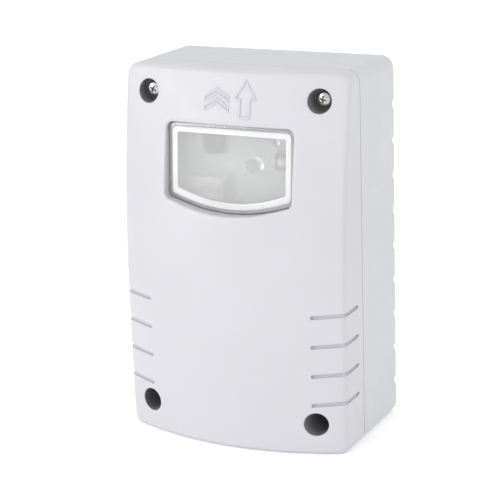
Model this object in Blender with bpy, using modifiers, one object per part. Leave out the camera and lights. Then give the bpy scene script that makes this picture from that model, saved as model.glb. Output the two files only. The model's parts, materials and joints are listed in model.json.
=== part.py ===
"""Automatic coop door opener: a cord winder in a crowned plastic case that screws to a coop wall.

Sizes below are in millimetres and the scene is in metres. x is to the right, y runs back into the
wall from its face at y = 0, and z is height above the bottom of the case. The root empty puts the
middle of the wall face at the world origin.
"""

import math

import bmesh
import bpy
from mathutils import Matrix, Vector

MM = 0.001
TOUCHING = 0.001  # millimetres within which two places count as one

# The case.
WIDTH = 84.0
HEIGHT = 130.0
REAR_DEPTH = 30.5  # wall face to parting line
PARTING_GAP = 0.3
HOUSING_WALL = 2.5
COVER_WALL = 2.4
TOP_CORNER = HOUSING_WALL + 2.0  # outline radii, seen from the front, always more than the wall
BOTTOM_CORNER = HOUSING_WALL + 0.5
FRONT_ROUNDING = 1.5
BACK_ROUNDING = 1.2
SIDE_DEPTH = 15.0  # cover, parting line to its front edge at the shoulder
SHOULDER_SHARE = 0.37  # height of the shoulder, as a share of the case
TOP_FALL = 7.9  # how far the side profile runs back from the shoulder to the top
FOOT_FALL = 0.4
FOOT_CROWN = 9.5  # bulge of the front across its width, at the foot and at the top
TOP_CROWN = 4.0

# Cover screws.
SCREW_X = 32.0
SCREW_TOP_INSET = HOUSING_WALL + 6.5
SCREW_FOOT_INSET = 10.8
SCREW_SEAT = 5.5  # seat in front of the parting line
HEAD_RADIUS = 2.9
HEAD_HEIGHT = 2.1
SHANK_RADIUS = 1.5
SCREW_LENGTH = 22.0
COUNTERBORE_RADIUS = 4.1
SCREW_TUBE_WALL = 1.5
BOSS_RADIUS = 4.5
RUNNING_CLEARANCE = 0.3  # between pieces that touch or pass through each other
CUT_PAST = 1.0  # how far a cutter runs past what it cuts
CROSS_HALF_LENGTH = 1.5
CROSS_HALF_WIDTH = 0.32
CROSS_DEPTH = 1.3

# Window.
WINDOW_HALF_WIDTH = 24.0
WINDOW_TOP = 111.5
WINDOW_SIDE_FOOT = 84.9
WINDOW_SAG = 3.9  # the lower edge dips this far at the middle
WINDOW_RIM = 3.3
WINDOW_CORNER = 2.5
WINDOW_DEPTH = 13.1  # pane front, in front of the parting line, at its middle height
WINDOW_TILT = math.radians(4.6)
PANE_THICKNESS = 1.5
WINDOW_SEAL_THICKNESS = 0.5
LEDGE_THICKNESS = 1.4
WELL_WALL = 1.8

# Finger grooves on the cover and scallops on the rear edge.
GROOVE_COUNT = 4
GROOVE_TOP = 50.0
GROOVE_PITCH = 10.4
GROOVE_WIDTH = 1.3
GROOVE_DEPTH = 1.0
GROOVE_REACH = 11.5  # along the front, from the side
GROOVE_START = 3.7  # in front of the parting line
GROOVE_SLOPE = math.radians(6.0)
GROOVE_SKIN = 0.8  # how far the groove cutter stands off the cover's face
SCALLOP_COUNT = 9
SCALLOP_FOOT = 11.4
SCALLOP_PITCH = 12.7
SCALLOP_RADIUS = 2.4
SCALLOP_BITE = 1.0
SCALLOP_LENGTH = 3.0
SCALLOP_SIDES = 10

# Case seal, squeezed between a ledge in the housing and a lip on the cover.
LEDGE_DEPTH = 25.6
LEDGE_HEIGHT = 1.5
SEAL_WIDTH = 1.6
SEAL_HEIGHT = 1.4
LIP_WIDTH = 1.5
LIP_GAP_EXTRA = 6.0

# Wall screws and cord outlet.
WALL_HOLE_RADIUS = 2.25
WALL_HOLE_TOP_INSET = 7.0
WALL_HOLE_FOOT = 9.0
WALL_HOLE_FOOT_X = 21.0
CORD_X = 0.0
CORD_Y = -22.0
CORD_HOLE_RADIUS = 2.6
EYELET_BORE = 1.4
EYELET_FLANGE = 3.4

# Battery bay: four upright AA cells.
CELL_COUNT = 4
CELL_RADIUS = 7.25
CELL_LENGTH = 50.5
CELL_NUB_RADIUS = 2.75
CELL_NUB_LENGTH = 1.2
CELL_GAP = 0.6
TRAY_WALL = 1.6
TRAY_FOOT = 17.0
TRAY_SIDE_GAP = 0.6  # to the housing's left wall
TRAY_BACK_GAP = 0.5
TRAY_SIDE_DEPTH = 6.5  # how far its sides reach in front of the cells' axes
FINGER_CUT_HALF = 6.0
FINGER_CUT_DEPTH = 5.0
CELL_BACK_GAP = 0.35
SPRING_LENGTH = 4.3
SPRING_WIRE = 0.35
SPRING_TURNS = 3.5
SPRING_POINTS_A_TURN = 8
SPRING_FOOT_RADIUS = 4.4
SPRING_TOP_RADIUS = 2.6
CONTACT_HALF = 5.0
CONTACT_THICKNESS = 0.4
CONTACT_GAP = 0.15

# Gear frame: two plates with the train between them.
FRAME_LEFT = -30.0
FRAME_RIGHT = 38.0
FRAME_FOOT = 78.0
FRAME_TOP = 116.0
REAR_PLATE_Y = -5.0
PLATE_THICKNESS = 2.0
FRONT_PLATE_Y = -29.0
FRONT_PLATE_RIGHT = 26.6
PILLARS = ((-26.8, 81.9), (-26.8, 112.3), (22.0, 82.9), (23.5, 113.8))
PILLAR_RADIUS = 2.6
PILLAR_BOSS_WALL = 0.6  # the housing's boss behind each pillar is this much wider
FRAME_SCREW_RADIUS = 1.1
FRAME_SCREW_HEAD = 2.2
FRAME_SCREW_LENGTH = 28.6
PILOT_END = -1.6  # the frame screws' holes stop this far from the wall face
AXLE_SETBACK = 0.4  # the axles end this far inside the plates' outer faces

# Gear train.
MODULE = 0.8
AXLE_Z = 100.0
WORM_X = 31.5
DRUM_TEETH = 48
PINION_TEETH = 12
WORM_WHEEL_TEETH = 30
WORM_PITCH_RADIUS = 3.5
WORM_TIP_RADIUS = 3.9
WORM_CORE_RADIUS = 2.6
WORM_Y = -15.5
WORM_TURNS = 5
WORM_THREAD_FOOT = 0.55  # half the thread's thickness, at its foot and at its tip
WORM_THREAD_TIP = 0.25
GEAR_REAR_Y = -8.5
GEAR_WIDTH = 4.0
WORM_WHEEL_WIDTH = 3.0
DRUM_CORE_RADIUS = 6.5
DRUM_FLANGE_GAP = 1.5  # from the worm wheel's pitch circle
DRUM_FLANGE_RADIUS = MODULE * (DRUM_TEETH + PINION_TEETH - WORM_WHEEL_TEETH) / 2 - DRUM_FLANGE_GAP
DRUM_FLANGE_THICKNESS = 1.2
DRUM_END_Y = -28.2
AXLE_RADIUS = 1.5
AXLE_CLEARANCE = 0.08
BUSH_RADIUS = 3.0
WEB_HOLES = 6
WEB_HOLE_CIRCLE = 14.6
WEB_HOLE_RADIUS = 2.4
HUB_RADIUS = 3.6

# Motor.
MOTOR_WIDTH = 12.0
MOTOR_DEPTH = 10.0
MOTOR_LENGTH = 20.0
MOTOR_SHAFT_RADIUS = 1.0
MOTOR_BORE = 8.0
MOTOR_CAP_LENGTH = 2.4
MOTOR_SHAFT_TOP = 12.3  # above the axles
WORM_TAB_TOP = 12.0  # above the axles
TAB_HALF_WIDTH = 5.5
TAB_THICKNESS = 2.0
WORM_BUSH_RADIUS = 1.9

# Limit switch, its lever and pin.
SWITCH_LOW = (-20.5, -26.8, HOUSING_WALL + 7.0)
SWITCH_HIGH = (-6.5, -17.2, HOUSING_WALL + 11.9)
LEVER_PIN_X = -18.5
LEVER_PIN_Z = HOUSING_WALL + 4.1
LEVER_PIN_RADIUS = 0.8
LEVER_TIP_X = 3.6
LEVER_THICKNESS = 0.8
LEVER_BARREL_RADIUS = 1.5
LEVER_CORD_HOLE_RADIUS = 1.7
LEVER_CLEARANCE = 0.06
EAR_THICKNESS = 1.0
EAR_HALF_WIDTH = 1.8

# Circuit board and what stands on it.
BOARD_HALF_WIDTH = 26.0
BOARD_FOOT = 82.0
BOARD_TOP = 116.0
BOARD_Y = -33.0
BOARD_THICKNESS = 1.6
BOARD_SCREWS = ((-21.0, 86.0), (12.0, 112.6))
BOARD_SCREW_HOLE = 1.3
BOARD_POST_RADIUS = 2.2
TERMINAL_LOW = (-17.0, 84.7)
TERMINAL_HIGH = (-5.0, 92.2)
TERMINAL_HEIGHT = 5.4
TERMINAL_COUNT = 4
TERMINAL_PITCH = 2.9
CHIP_LOW = (-14.0, 99.6)
CHIP_HIGH = (-6.0, 106.6)
CHIP_HEIGHT = 1.4
SENSOR_AT = (6.0, 97.0)
SENSOR_RADIUS = 2.7
LED_AT = (13.2, 105.0)
LED_RADIUS = 1.5
BUTTON_AT = (17.0, 99.0)
BUTTON_SIDE = 6.0
BUTTON_HEIGHT = 3.2
BUTTON_CAP_RADIUS = 1.7
BUTTON_CAP_PROUD = 1.2
WIRE_RADIUS = 0.55

# Worked out from the sizes above.
HALF_WIDTH = WIDTH / 2
PARTING_Y = -REAR_DEPTH
COVER_Y = -(REAR_DEPTH + PARTING_GAP)
SEAT_Y = -(REAR_DEPTH + SCREW_SEAT)
FAR_FRONT = COVER_Y - 40.0  # in front of the whole cover
CUT_FORWARD = 30.0
CUT_OUTWARD = 4.0
SCREW_PLACES = {
    "top_left": (-SCREW_X, HEIGHT - SCREW_TOP_INSET),
    "top_right": (SCREW_X, HEIGHT - SCREW_TOP_INSET),
    "bottom_left": (-SCREW_X, SCREW_FOOT_INSET),
    "bottom_right": (SCREW_X, SCREW_FOOT_INSET),
}
WALL_HOLES = (
    (0.0, HEIGHT - WALL_HOLE_TOP_INSET),
    (-WALL_HOLE_FOOT_X, WALL_HOLE_FOOT),
    (WALL_HOLE_FOOT_X, WALL_HOLE_FOOT),
)
WORM_WHEEL_RADIUS = MODULE * WORM_WHEEL_TEETH / 2
PINION_X = WORM_X - WORM_WHEEL_RADIUS - WORM_PITCH_RADIUS
DRUM_X = PINION_X - MODULE * (DRUM_TEETH + PINION_TEETH) / 2
WORM_LEAD = math.pi * MODULE
WORM_HALF_LENGTH = WORM_LEAD * WORM_TURNS / 2
FRONT_PLATE_FRONT = FRONT_PLATE_Y - PLATE_THICKNESS
BOARD_FRONT = BOARD_Y - BOARD_THICKNESS
MOTOR_TOP = FRAME_FOOT - RUNNING_CLEARANCE
CELL_PITCH = 2 * CELL_RADIUS + CELL_GAP
TRAY_WIDTH = CELL_COUNT * CELL_PITCH + 2 * TRAY_WALL
TRAY_LEFT = -HALF_WIDTH + HOUSING_WALL + TRAY_SIDE_GAP
TRAY_BACK = -HOUSING_WALL - TRAY_BACK_GAP
CELL_Y = TRAY_BACK - TRAY_WALL - CELL_BACK_GAP - CELL_RADIUS
TRAY_FRONT = CELL_Y - TRAY_SIDE_DEPTH
BAY_LENGTH = CELL_LENGTH + SPRING_LENGTH + 2 * CONTACT_THICKNESS + 8 * CONTACT_GAP
TRAY_HEIGHT = BAY_LENGTH + 2 * TRAY_WALL
CELL_X = [TRAY_LEFT + TRAY_WALL + CELL_PITCH * (i + 0.5) for i in range(CELL_COUNT)]

# Colour, roughness and metallic value of each material.
FINISHES = {
    "housing_plastic": ((0.72, 0.73, 0.77), 0.45, 0.0),
    "cover_plastic": ((0.82, 0.83, 0.86), 0.40, 0.0),
    "clear_plastic": ((0.88, 0.90, 0.91), 0.20, 0.0),
    "seal_rubber": ((0.80, 0.81, 0.82), 0.70, 0.0),
    "screw_steel": ((0.62, 0.62, 0.60), 0.28, 1.0),
    "shaft_steel": ((0.70, 0.70, 0.70), 0.25, 1.0),
    "spring_steel": ((0.66, 0.64, 0.58), 0.30, 1.0),
    "brass": ((0.78, 0.60, 0.28), 0.32, 1.0),
    "gear_plastic": ((0.86, 0.85, 0.80), 0.50, 0.0),
    "frame_plastic": ((0.10, 0.10, 0.11), 0.55, 0.0),
    "cell_sleeve": ((0.16, 0.30, 0.22), 0.35, 0.0),
    "motor_steel": ((0.60, 0.60, 0.58), 0.35, 1.0),
    "motor_plastic": ((0.85, 0.85, 0.83), 0.50, 0.0),
    "board_white": ((0.86, 0.88, 0.87), 0.40, 0.0),
    "part_black": ((0.04, 0.04, 0.05), 0.45, 0.0),
    "part_white": ((0.84, 0.84, 0.82), 0.45, 0.0),
    "wire_red": ((0.55, 0.05, 0.04), 0.50, 0.0),
    "wire_black": ((0.03, 0.03, 0.03), 0.50, 0.0),
}

for leftover in list(bpy.data.objects):
    bpy.data.objects.remove(leftover, do_unlink=True)


def new_collection(name, hidden=False):
    collection = bpy.data.collections.new(name)
    bpy.context.scene.collection.children.link(collection)
    collection.hide_render = hidden
    return collection


PARTS = new_collection("automatic_coop_door")
CUTTERS = new_collection("cutters", hidden=True)


def new_material(name, colour, roughness, metallic):
    material = bpy.data.materials.new(name)
    material.use_nodes = True
    shader = material.node_tree.nodes["Principled BSDF"]
    shader.inputs["Base Color"].default_value = (*colour, 1.0)
    shader.inputs["Roughness"].default_value = roughness
    shader.inputs["Metallic"].default_value = metallic
    material.diffuse_color = (*colour, 1.0)
    return material


MATERIALS = {name: new_material(name, *finish) for name, finish in FINISHES.items()}


def empty(name, place, parent=None):
    """An empty that pieces are built around: the root, a joint's axis or the window's plane."""
    marker = bpy.data.objects.new(name, None)
    PARTS.objects.link(marker)
    marker.location = Vector(place) * MM
    marker.parent = parent
    return marker


ROOT = empty("coop_door_opener", (0.0, 0.0, -HEIGHT / 2))


def put(name, data, parent, material=None):
    """Links an object to the parts or, without a material, to the cutters."""
    obj = bpy.data.objects.new(name, data)
    obj.parent = parent
    if material:
        PARTS.objects.link(obj)
        data.materials.append(MATERIALS[material])
    else:
        CUTTERS.objects.link(obj)
        obj.hide_render = True
        obj.display_type = "WIRE"
    return obj


def mesh_object(name, build, material=None, parent=ROOT):
    """An object whose mesh is made by build(bm)."""
    bm = bmesh.new()
    build(bm)
    bmesh.ops.recalc_face_normals(bm, faces=bm.faces)
    mesh = bpy.data.meshes.new(name)
    bm.to_mesh(mesh)
    bm.free()
    return put(name, mesh, parent, material)


def box(bm, low, high):
    low = Vector(low) * MM
    high = Vector(high) * MM
    size = Matrix.Diagonal((*(high - low), 1.0))
    made = bmesh.ops.create_cube(bm, size=1.0, matrix=Matrix.Translation((low + high) / 2) @ size)
    return made["verts"]


def rounded_box(bm, low, high, radius, along, segments=3):
    """A box whose four edges along one axis are rounded."""
    verts = box(bm, low, high)
    edges = {edge for vert in verts for edge in vert.link_edges}
    kept = [e for e in edges if abs((e.verts[0].co - e.verts[1].co)[along]) > 1e-6]
    bmesh.ops.bevel(bm, geom=kept, offset=radius * MM, segments=segments, profile=0.5, affect="EDGES")


def rod(bm, radius, start, end, sides=24, end_radius=None):
    start = Vector(start) * MM
    end = Vector(end) * MM
    turn = (end - start).to_track_quat("Z", "Y").to_matrix().to_4x4()
    bmesh.ops.create_cone(
        bm,
        cap_ends=True,
        segments=sides,
        radius1=radius * MM,
        radius2=(radius if end_radius is None else end_radius) * MM,
        depth=(end - start).length,
        matrix=Matrix.Translation((start + end) / 2) @ turn,
    )


def combine(obj, operation, other):
    modifier = obj.modifiers.new(other.name, "BOOLEAN")
    modifier.operation = operation
    modifier.object = other
    modifier.solver = "EXACT"


def join_to(obj, name, build):
    combine(obj, "UNION", mesh_object(name, build, parent=obj.parent))


def cut_from(obj, name, build):
    combine(obj, "DIFFERENCE", mesh_object(name, build, parent=obj.parent))


def bore(obj, name, radius, start, end, sides=24):
    cut_from(obj, name, lambda bm: rod(bm, radius, start, end, sides))


def pin(name, material, radius, start, end, parent=ROOT, sides=24):
    return mesh_object(name, lambda bm: rod(bm, radius, start, end, sides), material, parent)


def turned(name, profile, material, parent=ROOT, steps=24, axis="Z"):
    """A turned piece: profile points (radius, height), run from the top to the bottom."""
    mesh = bpy.data.meshes.new(name)
    points = [Vector((radius, 0.0, height)) * MM for radius, height in profile]
    mesh.from_pydata(points, [(i, i + 1) for i in range(len(points) - 1)], [])
    obj = put(name, mesh, parent, material)
    screw = obj.modifiers.new("turn", "SCREW")
    screw.steps = screw.render_steps = steps
    screw.use_merge_vertices = True
    screw.merge_threshold = 0.00001
    if axis == "Y":
        obj.rotation_euler.x = math.radians(90)
    return obj


def ring_profile(outer, inner, top, bottom):
    return [(inner, top), (outer, top), (outer, bottom), (inner, bottom), (inner, top)]


def to_mesh(obj):
    """Turns a curve, or a piece with modifiers, into a plain welded mesh in its place."""
    bpy.context.view_layer.update()
    graph = bpy.context.evaluated_depsgraph_get()
    mesh = bpy.data.meshes.new_from_object(obj.evaluated_get(graph))
    bm = bmesh.new()
    bm.from_mesh(mesh)
    bmesh.ops.remove_doubles(bm, verts=bm.verts, dist=1e-7)
    bmesh.ops.holes_fill(bm, edges=[edge for edge in bm.edges if edge.is_boundary])
    bmesh.ops.recalc_face_normals(bm, faces=bm.faces)
    bm.to_mesh(mesh)
    bm.free()
    name = obj.name
    made = bpy.data.objects.new(name + "_mesh", mesh)
    made.parent = obj.parent
    made.location = obj.location.copy()
    made.rotation_euler = obj.rotation_euler.copy()
    for collection in list(obj.users_collection):
        collection.objects.link(made)
    made.hide_render = obj.hide_render
    made.display_type = obj.display_type
    bpy.data.objects.remove(obj, do_unlink=True)
    made.name = name
    return made


def tube(name, points, radius, material, parent=ROOT, sides_level=1):
    """A round wire through the points."""
    curve = bpy.data.curves.new(name, "CURVE")
    curve.dimensions = "3D"
    curve.bevel_depth = radius * MM
    curve.bevel_resolution = sides_level
    curve.use_fill_caps = True
    spline = curve.splines.new("POLY")
    spline.points.add(len(points) - 1)
    for point, place in zip(spline.points, points):
        point.co = (*(Vector(place) * MM), 1.0)
    return put(name, curve, parent, material)


# ---------------------------------------------------------------- the case


def front_y(x, z):
    """The cover's front: a profile that leans back above its shoulder, crowned across its width."""
    shoulder = SHOULDER_SHARE * HEIGHT
    if z > shoulder:
        fall = TOP_FALL * ((z - shoulder) / (HEIGHT - shoulder)) ** 2
    else:
        fall = FOOT_FALL * ((shoulder - z) / shoulder) ** 2
    crown = FOOT_CROWN + (TOP_CROWN - FOOT_CROWN) * z / HEIGHT
    return -(REAR_DEPTH + SIDE_DEPTH - fall + crown * (1 - (x / HALF_WIDTH) ** 2))


def mark_corners(bm, inset=0.0):
    """Bevel weights on the outline's corner edges, which run front to back: the upper two are rounder."""
    weights = bm.edges.layers.float.new("bevel_weight_edge")
    corner = Vector((HALF_WIDTH - inset, HEIGHT / 2 - inset))
    for edge in bm.edges:
        start, end = (Vector((vert.co.x / MM, vert.co.z / MM - HEIGHT / 2)) for vert in edge.verts)
        miss = Vector((abs(start.x), abs(start.y))) - corner
        if miss.length < TOUCHING and (end - start).length < TOUCHING:
            edge[weights] = 1.0 if start.y > 0 else BOTTOM_CORNER / TOP_CORNER


def round_case(obj, rim, trim=0.0):
    """Rounds the outline's corners, then the edges around the face that closes the shell."""
    corners = obj.modifiers.new("corners", "BEVEL")
    corners.limit_method = "WEIGHT"
    corners.width = (TOP_CORNER - trim) * MM
    corners.segments = 3
    edge = obj.modifiers.new("rim", "BEVEL")
    edge.limit_method = "ANGLE"
    edge.angle_limit = math.radians(50)
    edge.width = rim * MM
    edge.segments = 2


def thicken(obj, thickness, offset=-1.0):
    shell = obj.modifiers.new("wall", "SOLIDIFY")
    shell.thickness = thickness * MM
    shell.offset = offset
    shell.use_even_offset = True


def crowned(name, inset=0.0, closed=False, material=None):
    """The cover's outer surface moved in by inset: open at the parting line, or a closed block."""

    def build(bm):
        half_width = HALF_WIDTH - inset
        half_height = HEIGHT / 2 - inset
        bmesh.ops.create_grid(bm, x_segments=10, y_segments=12, size=1.0)
        for vert in bm.verts:
            x = vert.co.x * half_width
            z = HEIGHT / 2 + vert.co.y * half_height
            vert.co = Vector((x, front_y(x, z) + inset, z)) * MM
        rim = [edge for edge in bm.edges if edge.is_boundary]
        back = bmesh.ops.extrude_edge_only(bm, edges=rim)["geom"]
        for vert in (item for item in back if isinstance(item, bmesh.types.BMVert)):
            vert.co.y = COVER_Y * MM
        mark_corners(bm, inset)
        if closed:
            bmesh.ops.holes_fill(bm, edges=[edge for edge in bm.edges if edge.is_boundary])

    obj = mesh_object(name, build, material)
    rim = max(FRONT_ROUNDING - max(inset, 0.0), 0.3)
    if not closed:
        round_case(obj, rim, max(inset, 0.0))
    return obj


def rear_housing():
    def open_box(bm):
        box(bm, (-HALF_WIDTH, PARTING_Y, 0.0), (HALF_WIDTH, 0.0, HEIGHT))
        mark_corners(bm)
        front = [face for face in bm.faces if face.normal.y < -0.9]
        bmesh.ops.delete(bm, geom=front, context="FACES_ONLY")

    def bosses(bm):
        for x, z in SCREW_PLACES.values():
            rod(bm, BOSS_RADIUS, (x, -1.0, z), (x, PARTING_Y, z))
        for x, z in PILLARS:
            end = REAR_PLATE_Y + RUNNING_CLEARANCE
            rod(bm, PILLAR_RADIUS + PILLAR_BOSS_WALL, (x, -1.0, z), (x, end, z), sides=16)
        shelf_foot = SWITCH_HIGH[2] + RUNNING_CLEARANCE
        shelf_top = TRAY_FOOT - 2 * RUNNING_CLEARANCE
        box(bm, (SWITCH_LOW[0], SWITCH_LOW[1], shelf_foot), (SWITCH_HIGH[0], -1.0, shelf_top))

    def seal_ledge(bm):
        rounded_box(bm, (-HALF_WIDTH + 1.0, -LEDGE_DEPTH - LEDGE_HEIGHT, 1.0),
                    (HALF_WIDTH - 1.0, -LEDGE_DEPTH, HEIGHT - 1.0), 3.0, along=1)

    def ledge_opening(bm):
        inner = HOUSING_WALL + SEAL_WIDTH + 2 * RUNNING_CLEARANCE
        rounded_box(bm, (-HALF_WIDTH + inner, -LEDGE_DEPTH - 5.0, inner),
                    (HALF_WIDTH - inner, -LEDGE_DEPTH + 5.0, HEIGHT - inner), 2.0, along=1)

    def holes(bm):
        for x, z in SCREW_PLACES.values():
            start = PARTING_Y - CUT_PAST
            end = SEAT_Y + SCREW_LENGTH + CUT_PAST
            rod(bm, SHANK_RADIUS + RUNNING_CLEARANCE, (x, start, z), (x, end, z), sides=16)
        for x, z in WALL_HOLES:
            rod(bm, WALL_HOLE_RADIUS, (x, CUT_PAST, z), (x, -HOUSING_WALL - CUT_PAST, z))
        for x, z in PILLARS:
            end = REAR_PLATE_Y - CUT_PAST
            rod(bm, FRAME_SCREW_RADIUS + RUNNING_CLEARANCE, (x, PILOT_END, z), (x, end, z), sides=12)
        top = HOUSING_WALL + CUT_PAST
        rod(bm, CORD_HOLE_RADIUS, (CORD_X, CORD_Y, -CUT_PAST), (CORD_X, CORD_Y, top))

    def scallops(bm):
        reach = HALF_WIDTH + SCALLOP_RADIUS - SCALLOP_BITE
        for i in range(SCALLOP_COUNT):
            z = SCALLOP_FOOT + SCALLOP_PITCH * i
            for x in (-reach, reach):
                rod(bm, SCALLOP_RADIUS, (x, CUT_PAST, z), (x, -SCALLOP_LENGTH, z), SCALLOP_SIDES)

    housing = mesh_object("rear_housing", open_box, "housing_plastic")
    round_case(housing, BACK_ROUNDING)
    thicken(housing, HOUSING_WALL)
    ledge = mesh_object("seal_ledge", seal_ledge)
    combine(ledge, "DIFFERENCE", mesh_object("seal_ledge_opening", ledge_opening))
    combine(housing, "UNION", ledge)
    join_to(housing, "housing_bosses", bosses)
    cut_from(housing, "housing_holes", holes)
    cut_from(housing, "housing_scallops", scallops)


def rounded_ring(name, outer_inset, inner_inset, y_back, y_front, material=None):
    """A flat ring that follows the case outline between two insets."""

    def outer(bm):
        radius = max(TOP_CORNER - outer_inset, 1.0)
        rounded_box(bm, (-HALF_WIDTH + outer_inset, y_front, outer_inset),
                    (HALF_WIDTH - outer_inset, y_back, HEIGHT - outer_inset), radius, along=1)

    def inner(bm):
        radius = max(TOP_CORNER - inner_inset, 0.8)
        rounded_box(bm, (-HALF_WIDTH + inner_inset, y_front - 1.0, inner_inset),
                    (HALF_WIDTH - inner_inset, y_back + 1.0, HEIGHT - inner_inset), radius, along=1)

    ring = mesh_object(name, outer, material)
    cut_from(ring, name + "_opening", inner)
    return ring


def front_cover(window_plane):
    """A crowned shell with screw tubes, a lip that locates it, the window's well and the grooves."""
    cover = crowned("front_cover", material="cover_plastic")
    thicken(cover, COVER_WALL)

    def tubes(bm):
        for x, z in SCREW_PLACES.values():
            rod(bm, COUNTERBORE_RADIUS + SCREW_TUBE_WALL, (x, COVER_Y + 2.0, z), (x, FAR_FRONT, z))

    def bores(bm):
        for x, z in SCREW_PLACES.values():
            rod(bm, COUNTERBORE_RADIUS, (x, SEAT_Y, z), (x, FAR_FRONT, z), sides=32)

    def shank_holes(bm):
        for x, z in SCREW_PLACES.values():
            start, end = PARTING_Y + 2.0, SEAT_Y - CUT_PAST
            rod(bm, SHANK_RADIUS + RUNNING_CLEARANCE, (x, start, z), (x, end, z), sides=16)

    core = crowned("cover_core", inset=COVER_WALL / 2, closed=True)
    screw_tubes = mesh_object("screw_tubes", tubes)
    combine(screw_tubes, "INTERSECT", core)
    combine(cover, "UNION", screw_tubes)

    lip_inset = HOUSING_WALL + RUNNING_CLEARANCE
    lip_back = -LEDGE_DEPTH - LEDGE_HEIGHT - SEAL_HEIGHT - 2 * RUNNING_CLEARANCE
    root_inset = lip_inset + LIP_WIDTH + RUNNING_CLEARANCE
    root = rounded_ring("lip_root", COVER_WALL - 1.0, root_inset, COVER_Y - 0.4, COVER_Y - 2.4)
    lip = rounded_ring("cover_lip", lip_inset, lip_inset + LIP_WIDTH, lip_back, COVER_Y - 1.0)
    combine(lip, "DIFFERENCE", mesh_object("lip_gaps", lambda bm: lip_gaps(bm, lip_back)))
    combine(cover, "UNION", root)
    combine(cover, "UNION", lip)

    well_depth = PANE_THICKNESS + WINDOW_SEAL_THICKNESS + 2 * RUNNING_CLEARANCE + LEDGE_THICKNESS
    well = window_prism("window_well", WELL_WALL, well_depth, -CUT_FORWARD, window_plane)
    combine(well, "INTERSECT", core)
    combine(cover, "UNION", well)
    seat = well_depth - LEDGE_THICKNESS
    recess = window_prism("window_recess", 0.0, seat, -CUT_FORWARD, window_plane)
    combine(cover, "DIFFERENCE", recess)
    opening = window_prism("window_opening", -WINDOW_RIM, well_depth + 4.0, -2.0, window_plane)
    combine(cover, "DIFFERENCE", opening)
    cut_from(cover, "cover_counterbores", bores)
    cut_from(cover, "cover_shank_holes", shank_holes)

    skin = crowned("groove_skin", inset=-GROOVE_SKIN)
    thicken(skin, GROOVE_DEPTH + GROOVE_SKIN)
    grooves = mesh_object("grooves", groove_slabs)
    combine(grooves, "INTERSECT", skin)
    combine(cover, "DIFFERENCE", grooves)


def lip_gaps(bm, back):
    """The lip stops short of each screw boss."""
    reach = BOSS_RADIUS + 0.8
    for x, z in SCREW_PLACES.values():
        low = (x - reach, COVER_Y - 1.6, z - reach - LIP_GAP_EXTRA)
        box(bm, low, (x + reach, back + CUT_PAST, z + reach + LIP_GAP_EXTRA))


def groove_slabs(bm):
    for i in range(GROOVE_COUNT):
        z = GROOVE_TOP - GROOVE_PITCH * i
        for side in (-1, 1):
            slab = bmesh.new()
            end = (CUT_OUTWARD, COVER_Y - GROOVE_START, GROOVE_WIDTH / 2)
            box(slab, (-GROOVE_REACH, FAR_FRONT, -GROOVE_WIDTH / 2), end)
            lean = Matrix.Rotation(-GROOVE_SLOPE, 4, "Y")
            place = Matrix.Translation(Vector((HALF_WIDTH, 0.0, z)) * MM)
            bmesh.ops.transform(slab, matrix=place @ lean, verts=slab.verts)
            if side < 0:
                bmesh.ops.scale(slab, vec=(-1.0, 1.0, 1.0), verts=slab.verts)
            mesh = bpy.data.meshes.new("slab")
            slab.to_mesh(mesh)
            slab.free()
            bm.from_mesh(mesh)
            bpy.data.meshes.remove(mesh)


def window_outline(grow):
    """The window seen from the front: square shoulders and a lower edge that sags, moved out by grow."""
    half = WINDOW_HALF_WIDTH + grow
    top = WINDOW_TOP + grow
    foot = WINDOW_SIDE_FOOT - grow
    radius = max(WINDOW_CORNER + grow * 0.5, 0.8)
    middle = (WINDOW_TOP + WINDOW_SIDE_FOOT) / 2
    points = []
    for centre_x, centre_z, start in (
        (half - radius, top - radius, 0),
        (-half + radius, top - radius, 90),
        (-half + radius, foot + radius, 180),
    ):
        for step in range(5):
            angle = math.radians(start + 18.0 * step)
            points.append((centre_x + radius * math.cos(angle), centre_z + radius * math.sin(angle)))
    for step in range(1, 12):
        share = -1 + step / 6
        points.append((share * (half - radius), foot - WINDOW_SAG * (1 - share**2)))
    for step in range(5):
        angle = math.radians(-72 + 18.0 * step)
        points.append((half - radius + radius * math.cos(angle), foot + radius + radius * math.sin(angle)))
    return [(x, z - middle) for x, z in points]


def window_prism(name, grow, back, front, plane, material=None):
    """The window's outline as a block from front to back, measured from the pane's front face."""
    curve = bpy.data.curves.new(name, "CURVE")
    curve.dimensions = "2D"
    curve.fill_mode = "BOTH"
    curve.extrude = (back - front) / 2 * MM
    spline = curve.splines.new("POLY")
    outline = window_outline(grow)
    spline.points.add(len(outline) - 1)
    for point, (x, z) in zip(spline.points, outline):
        point.co = (x * MM, z * MM, 0.0, 1.0)
    spline.use_cyclic_u = True
    flat = put(name, curve, plane, material)
    flat.rotation_euler.x = math.radians(90)
    flat.location.y = (back + front) / 2 * MM
    return to_mesh(flat)


def window(plane):
    window_prism("window_pane", -RUNNING_CLEARANCE, PANE_THICKNESS, 0.0, plane, "clear_plastic")
    behind = PANE_THICKNESS + RUNNING_CLEARANCE
    seal_back = behind + WINDOW_SEAL_THICKNESS
    seal = window_prism("window_seal", -2 * RUNNING_CLEARANCE, seal_back, behind, plane, "seal_rubber")
    opening = window_prism("window_seal_opening", -WINDOW_RIM + 0.5, behind + 2.0, -2.0, plane)
    combine(seal, "DIFFERENCE", opening)


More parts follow.
